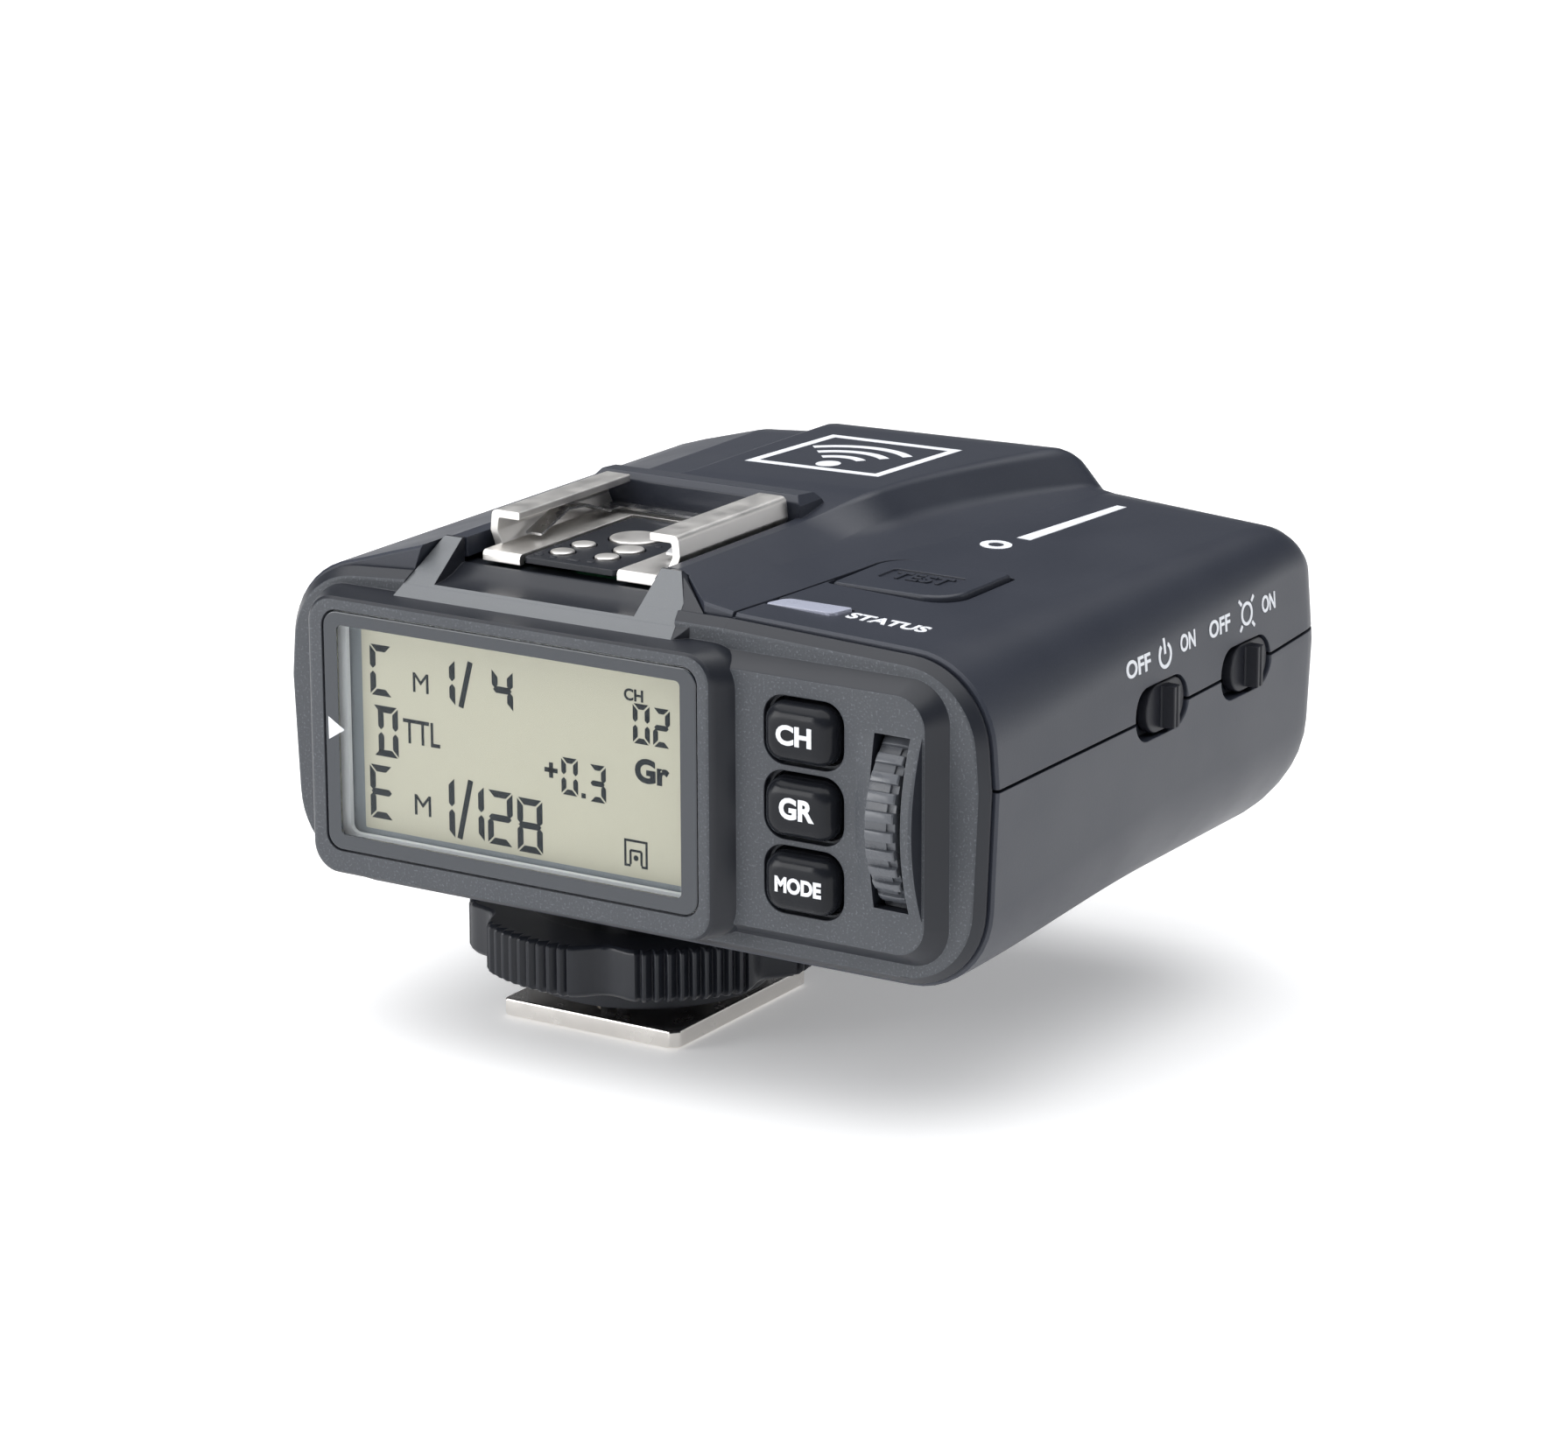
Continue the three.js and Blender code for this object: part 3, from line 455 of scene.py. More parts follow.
def outline(y, inset=0.0, drop=0.0, rise=0.0):
    """Cross-section of the case at depth y; drop and rise pull the top and bottom towards the split."""
    r = max(CORNER - inset, 1.0)
    corners = [(LEFT_X + DRAFT + inset, BASE_Z + inset, r),
               (RIGHT_X - DRAFT - inset, BASE_Z + inset, r + 2.6 * ease((y + 17) / 34)),
               (RIGHT_X - inset, SPLIT_Z, 0),
               (RIGHT_X - DRAFT - inset, EDGE_Z - inset, max(top_radius(y) - inset, 1.0))]
    for x, z, radius in top_line(y):
        side = 1 if x > TOP_MIDDLE else -1
        corners.append((x - side * 0.7 * inset, z - inset, radius))
    arc = corner_arc(inset, r)
    loop = rounded(corners + [(*arc[0], 0), (LEFT_X + inset, SPLIT_Z, 0)], 10)
    squeezed = []
    for x, z in loop[:-1] + arc[1:] + loop[-1:]:
        if z > SPLIT_Z:
            z -= drop * ((z - SPLIT_Z) / (DECK_Z - SPLIT_Z)) ** 1.4
        else:
            z += rise * ((SPLIT_Z - z) / (SPLIT_Z - BASE_Z)) ** 1.4
        squeezed.append((x, z))
    return squeezed


def bend(y, reach):
    """How far a quarter-circle edge of the given reach has fallen at depth y."""
    t = max(0.0, y - (REAR_Y - reach)) / reach
    return reach * (1 - math.sqrt(max(0.0, 1 - t * t)))


STRAIGHT_ROWS = (-18.3, -18.1, -17.0, -15.9, -15.0, -14.85, -10, -4, 2, *range(5, 16), 17, 20, 24, 28, 31,
                 34)
BENT_ROWS = (36.5, 37.8, 39.0, 39.8, 40.5, 41.1, 41.6, 41.95, 42.2, 42.38, 42.47)


def case_solid(inset=0.0, front=FRONT_Y):
    """Solid case, or with an inset the room inside it."""
    chamfer = 0.0 if inset else 0.22
    rings = [[(x, front, z) for x, z in outline(front, inset + chamfer)]]
    for y in STRAIGHT_ROWS:
        rings.append([(x, y, z) for x, z in outline(y, inset)])
    for y in BENT_ROWS:
        side = bend(y, 3.4)
        fall = 0.34 * bend(y, 8.0)
        ring = []
        for x, z in outline(y, inset + side, max(0.0, bend(y, 4.6) - side), bend(y, 6.2) - side):
            sag = fall * ease((x - 26) / 16) * max(0.0, (z - SPLIT_Z) / 11) ** 1.4
            ring.append((x, y - inset, z - sag))
        rings.append(ring)
    return skin("case", rings)


def beyond_split(above):
    """Large tool that removes everything above (or below) the slanted split, with half of the seam."""
    split = [(-40, SPLIT_Z), (8, SPLIT_Z), (30, 32.45), (43, 33.3), (60, 34.2)]
    shift, far = (-SEAM / 2, 90) if above else (SEAM / 2, -20)
    return prism("x", [(y, z + shift) for y, z in split] + [(60, far), (-40, far)], -80, 80)


# ---- ramp in front of the shoe
WEDGE_TOP = (43.98, 45.2, 46.2)


def slope_z(y):
    return 41.45 + (y + 21.25) * 0.78


def wedge(low, grow=0.0, high=(), name="tool"):
    """Solid that holds the slope and its two horns, from height low up."""
    sections = []
    for z in (low, *WEDGE_TOP, *high):
        left = -13.95 + 1.85 * (z - 41.0) / 5.2
        right = 15.9 - 0.3 * (z - 41.0) if z < WEDGE_TOP[0] else 15.0 - 0.95 * (z - WEDGE_TOP[0])
        sections.append((z, [(left - grow, -21.4), (right + grow, -21.4), (right + grow, -15.0 + grow),
                             (left - grow, -15.0 + grow)]))
    return loft(name, "z", sections)


def horn_foot():
    """Low fairing that carries the right horn out to the foot of the hump."""
    top = [(15.7, -21.25, 41.38), (15.0, -18.9, 43.1), (14.3, -17.0, 44.5), (13.2, -15.4, 45.7),
           (13.2, -15.0, 45.7), (16.5, -20.5, 42.1), (17.2, -19.7, 42.85), (17.7, -18.9, 43.55),
           (15.4, -17.0, 44.5)]
    low = [(x, y, 40.5) for x, y, _ in top] + [(12.5, -21.2, 40.5), (12.5, -15.0, 40.5)]
    return hull("tool", top + low)


def horn_room():
    """Room in the deck for the fairing."""
    plan = [(12.0, -15.0), (12.0, -21.6), (17.0, -20.4), (17.95, -18.9), (15.6, -16.8), (13.4, -14.85)]
    return hull("tool", [(x, y, z) for x, y in plan for z in (40, 48)])


def ramp_solid():
    ramp = wedge(41.0, name="ramp")
    profile = [(-22, 38), (-14, 38), (-14, 45.2), (-14.6, 45.9), (-15.0, 46.0), (-15.35, 46.0),
               (-21.25, 41.45), (-22, 41.4)]
    combine(ramp, [prism("x", profile, -30, 30)], "INTERSECT")
    sill = block(-11.9, 12.6, -15.1, -12.8, 42.0, 43.58)
    return join(ramp, horn_foot(), sill)


def ramp_notch():
    """Tool that removes the rim above the slope, between the two horns."""
    above = [(-22.5, slope_z(-22.5)), (-15.0, slope_z(-15.0)), (-15.0, 52), (-22.5, 52)]
    return combine(wedge(41.52, -0.01), [prism("x", above, -30, 30)], "INTERSECT")


def ramp_trough():
    middle, half_width = 0.35, 10.65
    side = [(-22, 42.75), (-19.4, 42.62), (-18.2, 42.72), (-16.8, 43.1), (-15.5, 43.7), (-14, 43.9),
            (-14, 50), (-22, 50)]
    return prism("x", side, middle - half_width, middle + half_width)


# ---- case halves
# On the deck: x of the shoe's middle line, and (x, y) of the test key and the status light.
SHOE_X = 0.6
TEST_AT, TEST_WIDTH, TEST_DEPTH = (28.0, 0.5), 12.0, 10.8
STATUS_AT, STATUS_WIDTH, STATUS_DEPTH = (24.6, -12.8), 7.4, 2.5
# On the right side, y of each switch and their height; on the rear, (x, z) of the lamp window.
SWITCHES, SWITCH_Z = {"power": 10.5, "lamp": 26.6}, 32.4
LAMP_AT, LAMP_WIDTH, LAMP_HEIGHT = (9.7, 24.6), 30.0, 8.4
# On the underside: (x, y) of the stem, (y, z) of the door's hinge and the radius of its pin hole, (x, y,
# seat height) of the screws, and (left, right, front, rear) of the door.
STEM, HINGE, PIN_HOLE = (-1.0, 0.0), (38.7, 12.2), 0.6
SCREWS = [(-19.8, -13.0, 14.4), (38.9, 1.4, 14.7), (-20.9, 33.8, 14.6), (39.8, 33.8, 15.8)]
DOOR = (-17.7, 36.7, 17.3, 37.3)


def test_loop(grow, sharp, soft):
    return leaf(*TEST_AT, TEST_WIDTH + 2 * grow, TEST_DEPTH + 2 * grow, sharp, soft)


def status_loop(grow, sharp=0.25, soft=1.0):
    return leaf(*STATUS_AT, STATUS_WIDTH + 2 * grow, STATUS_DEPTH + 2 * grow, sharp, soft, 0.6)


def lamp_loop(grow, radius, n=8):
    return mid_rect(*LAMP_AT, LAMP_WIDTH + 2 * grow, LAMP_HEIGHT + 2 * grow, radius, n)


def ledge_behind_shoe():
    side = [(6.2, 43.0, 0), (10.6, 43.0, 0), (10.6, 46.5, 0), (9.3, 47.9, .3), (6.8, 48.1, .3),
            (6.2, 47.5, .3)]
    ledge = prism("x", rounded(side, 4), -10.8, 11.8)
    ends = [(-11.6, 42.5), (12.6, 42.5), (12.6, 46.2), (11.0, 48.3), (-10.0, 48.3), (-11.6, 46.2)]
    return combine(ledge, [prism("y", ends, 4, 12)], "INTERSECT")


def build_case():
    """Both halves of the case in one, with the openings of the deck and the right side."""
    shell = case_solid()
    join(shell, ledge_behind_shoe())
    cut(shell, case_solid(WALL, FRONT_Y - 1))
    join(shell, block(42.6, 45.5, 3.4, 33.8, 27.4, 37.4))
    shoe_left, shoe_right = SHOE_X - 10.7, SHOE_X + 10.7
    tools = [
        block(shoe_left, shoe_right, -13.6, 6.2, 44.0, 50),
        block(shoe_left, shoe_right, -16.5, -13.5, 43.6, 50),
        wedge(41.0, 0.18, (48.0,)),
        horn_room(),
        pocket("z", lambda grow: test_loop(0.35 + grow, 0.5 + grow, 3.3 + grow), 43.98, 40.2, 0.14),
        pocket("z", lambda grow: status_loop(0.25 + grow, 0.3 + grow, 1.2 + grow), 44.0, 40.2, 0.08),
        prism("z", [(20.35, -19), (20.65, -19), (22.15, 4.0), (21.85, 4.0)], 43.55, 45),
    ]
    for y in SWITCHES.values():
        tools.append(pocket("x", grown(y + 0.1, SWITCH_Z, 9.6, 4.9, 2.3, 10), 46.75, 45.2, 0.14))
        tools.append(block(42, 46, y - 2.5, y + 2.4, SWITCH_Z - 1.3, SWITCH_Z + 1.3))
    return cut(shell, *tools)


def copy_of(obj, name):
    twin = obj.copy()
    twin.data = obj.data.copy()
    twin.name = name
    scene.collection.objects.link(twin)
    return twin


upper = build_case()
lower = copy_of(upper, "lower_case")
upper.name = "upper_case"
cut(upper, beyond_split(above=False))
cut(lower, beyond_split(above=True))
dress(smooth(upper), "unit", "case", SLATE, "top_cover")

# neck, battery opening, hinge lugs, screw posts, rear window and side sockets of the lower half
neck = revolve("neck", "z", *STEM, [(8.8, 11.0), (9.25, 11.15), (9.4, 11.5), (9.4, 13.2), (9.9, 13.8)], 72)
join(lower, neck)
cut(lower, revolve("tool", "z", *STEM, [(5.5, 10), (5.5, 17)], 48),
    block(DOOR[0] - 0.3, DOOR[1] + 0.3, DOOR[2] - 0.3, DOOR[3] + 0.3, 12, 16))
LUG = rounded([(37.6, 15.0, 0), (37.9, 11.5, 0.7), (39.5, 11.5, 0.7), (39.8, 15.0, 0)], 6)
for x in (-12, 31):
    join(lower, prism("x", LUG, x - 2, x + 2))
tools = [rod("x", *HINGE, PIN_HOLE, -20, 40, 24)]
for x, y, seat in SCREWS:
    post = rod("z", x, y, 2.5, 13, 22)
    join(lower, combine(post, [case_solid()], "INTERSECT"))
    tools.append(rod("z", x, y, 2.0, 12, seat + 1.1))
    tools.append(rod("z", x, y, 1.2, 12, 23, 24))
tools += [
    pocket("y", lambda grow: lamp_loop(0.3 + grow, 2.6 + grow, 10), 42.5, 39, 0.25),
    pocket("x", grown(6.0, 25.0, 8.0, 3.4, 0.8), -27.2, -24),
    pocket("x", lambda grow: circle(18.0, 25.0, 2.3 + grow, 40), -27.2, -24),
]
cut(lower, *tools)
dress(smooth(lower), "unit", "case", SLATE, "bottom_cover")


# ---- front fascia
PANEL_Y, FRAME_Y = -21.8, -24.0
DIAL_X, DIAL_Y, DIAL_Z, DIAL_R, TEETH = (36.9, 39.7), -14.3, 28.6, 9.85, 36
KEYS = {"ch": 35.4, "gr": 28.75, "mode": 22.1}
KEY_X = 29.6

# Key panel in (y, right, bottom, top, radius), display frame in (y, left, right, bottom, top, radius).
PANEL_ROWS = [(-19.4, 43.3, 15.6, 41.4, 4.0), (-20.0, 42.95, 15.8, 41.2, 3.8),
              (-20.5, 42.4, 16.35, 40.8, 3.4), (-21.55, 41.62, 17.05, 40.15, 2.9),
              (-21.74, 41.5, 17.18, 40.0, 2.8), (PANEL_Y, 41.32, 17.35, 39.8, 2.6)]
FRAME_ROWS = [(-19.4, -24.0, 23.4, 15.1, 41.6, 4.1), (-20.0, -23.8, 23.3, 15.2, 41.55, 4.0),
              (-21.8, -22.7, 22.75, 15.35, 41.5, 3.4), (-23.3, -21.55, 21.8, 15.55, 41.42, 2.8),
              (-23.7, -21.35, 21.6, 15.62, 41.38, 2.6), (-23.92, -21.1, 21.35, 15.85, 41.15, 2.4),
              (FRAME_Y, -20.8, 21.05, 16.15, 40.85, 2.1)]


def frame_loop(x0, x1, z0, z1, r):
    return rect(x0, x1, z0, z1, r, 10)


def inset_frame(box, r, inset=0.0):
    return frame_loop(box[0] + inset, box[1] - inset, box[2] + inset, box[3] - inset, r - inset)


def panel_loop(x1, z0, z1, r):
    return rounded([(20, z0, 0), (x1, z0, r), (x1, z1, r), (20, z1, 0)], 10)


RING_EDGE = ((-18.72, 0.55), (-18.82, 0.42), (-19.0, 0.42), (-19.88, 1.12), (-19.97, 1.24), (-20.0, 1.38))


def ring_body():
    """Outer ring of the fascia, which follows the case with its rounded edge."""
    sections = []
    for y, inset in RING_EDGE:
        r = CORNER - inset
        left, right = LEFT_X + DRAFT + inset, RIGHT_X - DRAFT - inset
        low, high = BASE_Z + inset, EDGE_Z - inset
        corners = [(left, low, r), (right, low, r), (RIGHT_X - inset, SPLIT_Z, 0), (right, high, r),
                   (DECK_RIGHT, DECK_Z - inset, 3), (DECK_LEFT, DECK_Z - inset, 3), (left, high, r),
                   (LEFT_X + inset, SPLIT_Z, 0)]
        sections.append((y, rounded(corners, 12)))
    return loft("fascia", "y", sections)


def bulge():
    """Raised blister round the dial, as (x, height) sections."""
    half, steps = 8.2, 12
    sections = []
    for x, rise in ((34.7, 0.02), (35.2, 0.32), (36.2, 0.9), (38.6, 1.5), (41.0, 1.95), (41.3, 1.8)):
        loop = []
        for i in range(2 * steps + 1):
            t = i / steps - 1
            loop.append((PANEL_Y + 0.03 - rise * (1 - t * t), DIAL_Z + half * t))
        sections.append((x, loop + [(PANEL_Y + 1.2, DIAL_Z + half), (PANEL_Y + 1.2, DIAL_Z - half)]))
    return loft("bulge", "x", sections)


def build_fascia():
    fascia = ring_body()
    panel = stack("panel", "y", PANEL_ROWS, panel_loop)
    join(fascia, panel, bulge(), stack("frame", "y", FRAME_ROWS, frame_loop))
    cut(fascia, ramp_notch())
    join(fascia, ramp_solid())
    cut(fascia, ramp_trough())
    window = (-19.7, 20.2, 17.8, 40.2)
    tools = [
        pocket("y", lambda grow: inset_frame(window, 1.6, -grow), FRAME_Y, -22.8, 0.14),
        prism("y", frame_loop(-17.9, 18.5, 19.3, 38.9, 0.8), -23, -21.9),
        block(-19.3, 19.9, -22.3, -17, 17.7, 40.2),
        block(24.4, 41.2, -20.2, -17, 18.0, 39.6),
        block(36.65, 40.2, -27, -17, 21.1, 36.5),
        block(36.65, 40.2, -20.9, -17, DIAL_Z - 8.7, DIAL_Z + 8.7),
    ]
    for z in KEYS.values():
        tools.append(pocket("y", grown(KEY_X, z, 7.95, 6.05, 1.95, 10), PANEL_Y, -20.9, 0.14))
        tools.append(prism("y", mid_rect(KEY_X, z, 7.5, 5.65, 1.75, 10), -22, -17))
    return cut(fascia, *tools)


def fascia_material(centre, normal):
    """Material number of a face: 0 for sparked grey faces that look forward, 1 for smooth dark, 2 for the
    pale lip round the display and 3 for the slope of the ramp, painted paler as a highlight where it faces
    forward and up."""
    x, y, z = centre
    faces_front = normal.y < -0.4 and abs(normal.x) < 0.3
    # The slope faces that look forward and up get the paler grey, a painted highlight.
    if faces_front and z > 41.3 and abs(z - slope_z(y)) < 0.07 and -14.2 < x < 15.6:
        return 3
    if -22.9 < y < -21 and -18.3 < x < 19 and 19 < z < 39.2:
        return 2
    return 0 if normal.y < -0.8 and y < -19.7 else 1


fascia = build_fascia()
fascia.data.materials.clear()
for material in (SPARK, DARK, WHITE, SLOPE_HIGHLIGHT):
    fascia.data.materials.append(material)
for face in fascia.data.polygons:
    face.material_index = fascia_material(face.center / MM, face.normal)
dress(smooth(fascia, 28), "unit", "bezel", SPARK, "front_bezel")

# ---- display
WINDOW_Y, LCD_Y, INK_THICK = -23.94, -22.0, 0.02
WINDOW_BOX = (-19.58, 20.08, 17.92, 40.08)
CLEAR_BOX = (-18.08, 18.43, 19.37, 38.83)
SURROUND_BOX = (-18.95, 19.55, 18.05, 39.85)

WINDOW_ROWS = ((-23.74, 0), (-23.88, 0), (-23.93, .05), (-23.95, .13))
window = stack("display_window", "y", WINDOW_ROWS, lambda inset: inset_frame(WINDOW_BOX, 1.48, inset))
cut(window, prism("y", frame_loop(-18.1, 18.45, 19.35, 38.85, 0.5), -25, -22))
dress(smooth(window), "unit", "window", BORDER, "lcd_window")
window_clear = prism("y", inset_frame(CLEAR_BOX, 0.48), WINDOW_Y, -23.78, "display_clear")
dress(smooth(window_clear), "unit", "window", CLEAR)
surround = prism("y", inset_frame(SURROUND_BOX, 0.4), -20.9, -22.02, "display_surround")
cut(surround, prism("y", frame_loop(-16.8, 18.9, 19.75, 38.9, 0.2), -23, -20))
dress(smooth(surround), "unit", "display", SURROUND)
crystal_edge = frame_loop(-18.9, 19.5, 18.1, 39.8, 0.4)
crystal = loft("display_crystal", "y", [(-20.8, crystal_edge), (-21.9, crystal_edge),
                                        (LCD_Y, frame_loop(-18.8, 19.4, 18.2, 39.7, 0.4))])
dress(smooth(crystal), "unit", "display", LCD, "lcd_panel")


def flat_shapes(name, polygons, to_point, thick):
    """Thin solid from 2-D polygons; to_point(u, v, lift) returns a point in mm."""
    vertices, faces = [], []
    for polygon in polygons:
        n, base = len(polygon), len(vertices)
        vertices += [to_point(u, v, thick) for u, v in polygon] + [to_point(u, v, 0) for u, v in polygon]
        faces.append(tuple(base + i for i in range(n)))
        faces.append(tuple(base + n + i for i in reversed(range(n))))
        for i in range(n):
            j = (i + 1) % n
            faces.append((base + i, base + j, base + n + j, base + n + i))
    return make(name, vertices, faces)


SEGMENTS = {"0": "abcdef", "1": "bc", "2": "abged", "3": "abgcd", "4": "fgbc", "8": "abcdefg", "C": "afed",
            "E": "afged", "D": "abcdfe"}


def seven(char, x0, x1, z0, z1, w):
    """Seven-segment glyph as polygons with mitred ends; the left bars of a D stand further in."""
    zm, h, gap = (z0 + z1) / 2, w / 2, 0.12
    ends = {
        "a": ((x0, z1 - h), (x1, z1 - h)), "d": ((x0, z0 + h), (x1, z0 + h)), "g": ((x0, zm), (x1, zm)),
        "f": ((x0 + h, zm), (x0 + h, z1)), "e": ((x0 + h, z0), (x0 + h, zm)),
        "b": ((x1 - h, zm), (x1 - h, z1)), "c": ((x1 - h, z0), (x1 - h, zm)),
    }
    shapes = []
    for key in SEGMENTS[char]:
        (ax, az), (bx, bz) = ends[key]
        if char == "D" and key in "ef":
            ax, bx = ax + 0.55, bx + 0.55
        if key in "adg":
            ax, bx = ax + gap, bx - gap
            shape = [(ax + h, az - h), (bx - h, az - h), (bx, az), (bx - h, az + h), (ax + h, az + h),
                     (ax, az)]
            if key == "a":
                shape = [(ax + w, az - h), (bx - w, az - h), (bx, az + h), (ax, az + h)]
            if key == "d":
                shape = [(ax + w, az + h), (bx - w, az + h), (bx, az - h), (ax, az - h)]
        else:
            az, bz = az + gap, bz - gap
            out = -h if key in "ef" else h
            if key in "fb":
                shape = [(ax + out, az + h), (ax, az), (ax - out, az + h), (bx - out, bz - w),
                         (bx + out, bz)]
            else:
                shape = [(ax + out, az), (ax - out, az + w), (bx - out, bz - h), (bx, bz),
                         (bx + out, bz - h)]
        shapes.append(shape)
    return shapes


def stroke(x0, z0, x1, z1, w):
    d = Vector((x1 - x0, z1 - z0)).normalized() * (w / 2)
    return [(x0 + d.y, z0 - d.x), (x1 + d.y, z1 - d.x), (x1 - d.y, z1 + d.x), (x0 - d.y, z0 + d.x)]


def letters(text, u0, u1, v0, v1, bold=0.0):
    """Triangles of a word in the built-in typeface, fitted to a box."""
    curve = bpy.data.curves.new("letters", "FONT")
    curve.body = text
    curve.offset = bold
    curve.resolution_u = 4
    holder = add_object("letters", curve)
    view = bpy.context.evaluated_depsgraph_get()
    mesh = bpy.data.meshes.new_from_object(holder.evaluated_get(view))
    mesh.calc_loop_triangles()
    points = [(v.co.x, v.co.y) for v in mesh.vertices]
    lo = [min(p[k] for p in points) for k in (0, 1)]
    hi = [max(p[k] for p in points) for k in (0, 1)]
    scale_u, scale_v = (u1 - u0) / (hi[0] - lo[0]), (v1 - v0) / (hi[1] - lo[1])
    fitted = [(u0 + (u - lo[0]) * scale_u, v0 + (v - lo[1]) * scale_v) for u, v in points]
    triangles = [tuple(t.vertices) for t in mesh.loop_triangles]
    bpy.data.objects.remove(holder)
    bpy.data.curves.remove(curve)
    bpy.data.meshes.remove(mesh)
    return fitted, triangles


def word(text, box, to_point, thick, bold=0.0, name="word"):
    """Word as one thin closed solid."""
    points, triangles = letters(text, *box, bold)
    n = len(points)
    vertices = [to_point(u, v, thick) for u, v in points] + [to_point(u, v, 0) for u, v in points]
    faces, edges = [], {}
    for tri in triangles:
        faces.append(tri)
        faces.append(tuple(n + i for i in reversed(tri)))
        for i in range(3):
            edge = (tri[i], tri[(i + 1) % 3])
            edges.setdefault(tuple(sorted(edge)), []).append(edge)
    for pair in edges.values():
        if len(pair) == 1:
            a, b = pair[0]
            faces.append((b, a, n + a, n + b))
    return make(name, vertices, faces)


def merge(name, objects):
    work = bmesh.new()
    for obj in objects:
        work.from_mesh(obj.data)
    mesh = bpy.data.meshes.new(name)
    work.to_mesh(mesh)
    work.free()
    for obj in objects:
        bpy.data.objects.remove(obj)
    return add_object(name, mesh)


def on_lcd(u, v, lift):
    return (u, LCD_Y - lift, v)


def on_window(u, v, lift):
    return (u, WINDOW_Y - lift, v)


# glyphs of the display as (character, left, right, bottom, top, stroke width), then slashes, plus and point
DIGITS = [
    ("C", -15.9, -13.5, 32.3, 37.0, 0.62), ("D", -15.7, -12.95, 26.7, 31.4, 0.62),
    ("E", -16.2, -13.7, 20.8, 25.8, 0.62), ("1", -9.2, -6.6, 32.5, 36.8, 0.62),
    ("4", -2.6, -0.35, 32.85, 36.6, 0.62), ("1", -9.5, -6.9, 20.2, 25.9, 0.62),
    ("1", -6.3, -3.7, 20.4, 25.6, 0.62), ("2", -3.3, -0.6, 20.4, 25.4, 0.62),
    ("8", -0.1, 2.6, 20.2, 25.2, 0.62),
    ("0", 12.3, 14.05, 32.0, 35.6, 0.5), ("2", 14.4, 16.15, 32.0, 35.5, 0.5),
    ("0", 4.7, 6.45, 26.2, 29.6, 0.5), ("3", 7.65, 9.4, 26.0, 29.4, 0.5),
]
STROKES = [(-6.0, 32.5, -4.9, 36.8, 0.55), (-6.4, 20.3, -5.1, 25.9, 0.55), (2.9, 28.2, 4.3, 28.2, 0.42),
           (3.6, 27.5, 3.6, 28.9, 0.42), (6.8, 26.375, 7.25, 26.375, 0.45)]
LCD_WORDS = [("M", (-11.2, -9.5, 33.2, 35.0), 0.0), ("M", (-11.3, -9.5, 21.8, 23.7), 0.0),
             ("TTL", (-12.4, -8.35, 28.35, 30.6), 0.01), ("CH", (11.4, 13.4, 35.75, 36.85), 0.03),
             ("Gr", (12.45, 16.05, 28.5, 30.75), 0.045)]


def door_icon(x0, z0, x1, z1):
    """Small icon in the corner of the display: a frame with a door in it and a dot in the door."""
    t, jamb, lintel = 0.22, 0.65, z0 + 1.5
    lines = [(x0, z0 + t / 2, x0 + jamb, z0 + t / 2), (x1 - jamb, z0 + t / 2, x1, z0 + t / 2),
             (x0, z1 - t / 2, x1, z1 - t / 2), (x0 + t / 2, z0 + t, x0 + t / 2, z1 - t),
             (x1 - t / 2, z0 + t, x1 - t / 2, z1 - t), (x0 + jamb, z0 + t, x0 + jamb, lintel),
             (x1 - jamb, z0 + t, x1 - jamb, lintel), (x0 + jamb, lintel, x1 - jamb, lintel)]
    return [stroke(*line, t) for line in lines] + [circle((x0 + x1) / 2, z0 + 0.85, 0.26, 12)]


marks = [shape for digit in DIGITS for shape in seven(*digit)]
marks += [stroke(*line) for line in STROKES] + door_icon(11.25, 20.7, 13.7, 23.2)
legend = [flat_shapes("glyphs", marks, on_lcd, INK_THICK)]
for text, box, bold in LCD_WORDS:
    legend.append(word(text, box, on_lcd, INK_THICK, bold))
dress(merge("display_segments", legend), "unit", "display", SEGMENT)
arrow = flat_shapes("display_arrow", [[(-19.24, 30.23), (-19.21, 28.12), (-17.46, 29.19)]], on_window,
                    INK_THICK)
dress(arrow, "unit", "window", INK)


# ---- keys
CAP_ROWS = [(-23.16, 1.9), (-23.12, 1.2), (-23.06, 0.85), (-22.92, 0.55), (-22.7, 0.3), (-22.4, 0.11),
            (-22.0, 0.02), (-21.6, 0), (-19.8, 0)]
KEY_WORDS = {"ch": ("CH", (27.65, 31.2, 34.5, 36.3), 0.04), "gr": ("GR", (27.95, 31.45, 27.95, 29.9), 0.04),
             "mode": ("MODE", (27.5, 32.15, 21.35, 22.8), 0.045)}


def key_cap(name, z):
    """Key with a crowned top and a flange behind the panel."""
    def cap_loop(inset):
        return mid_rect(KEY_X, z, 7.0 - 2 * inset, 5.2 - 2 * inset, 1.6 - 0.55 * inset)
    cap = stack(name, "y", CAP_ROWS, cap_loop)
    return join(cap, prism("y", mid_rect(KEY_X, z, 8.7, 6.1, 1.2), -19.8, -19.0))


def on_key(u, v, lift):
    return (u, -23.12 - lift, v)


for key, z in KEYS.items():
    dress(smooth(key_cap(f"{key}_key_cap", z), 40), f"{key}_key", "keys", KEY_BLACK, f"{key}_button")
    text, box, bold = KEY_WORDS[key]
    dress(word(text, box, on_key, 0.05, bold, f"{key}_key_print"), f"{key}_key", "keys", INK)


# ---- select dial
# one tooth as (place along the pitch, share of the depth)
TOOTH = ((0.0, 0.10), (0.05, 0.0), (0.25, 0), (0.45, 0.0), (0.50, 0.10), (0.54, 1.0), (0.75, 1.0),
         (0.96, 1.0))


def dial_loop(shrink, depth):
    points = []
    for i in range(TEETH):
        for t, share in TOOTH:
            a = (i + t) * 2 * math.pi / TEETH
            r = DIAL_R - shrink - depth * share
            points.append((DIAL_Y + r * math.cos(a), DIAL_Z + r * math.sin(a)))
    return points


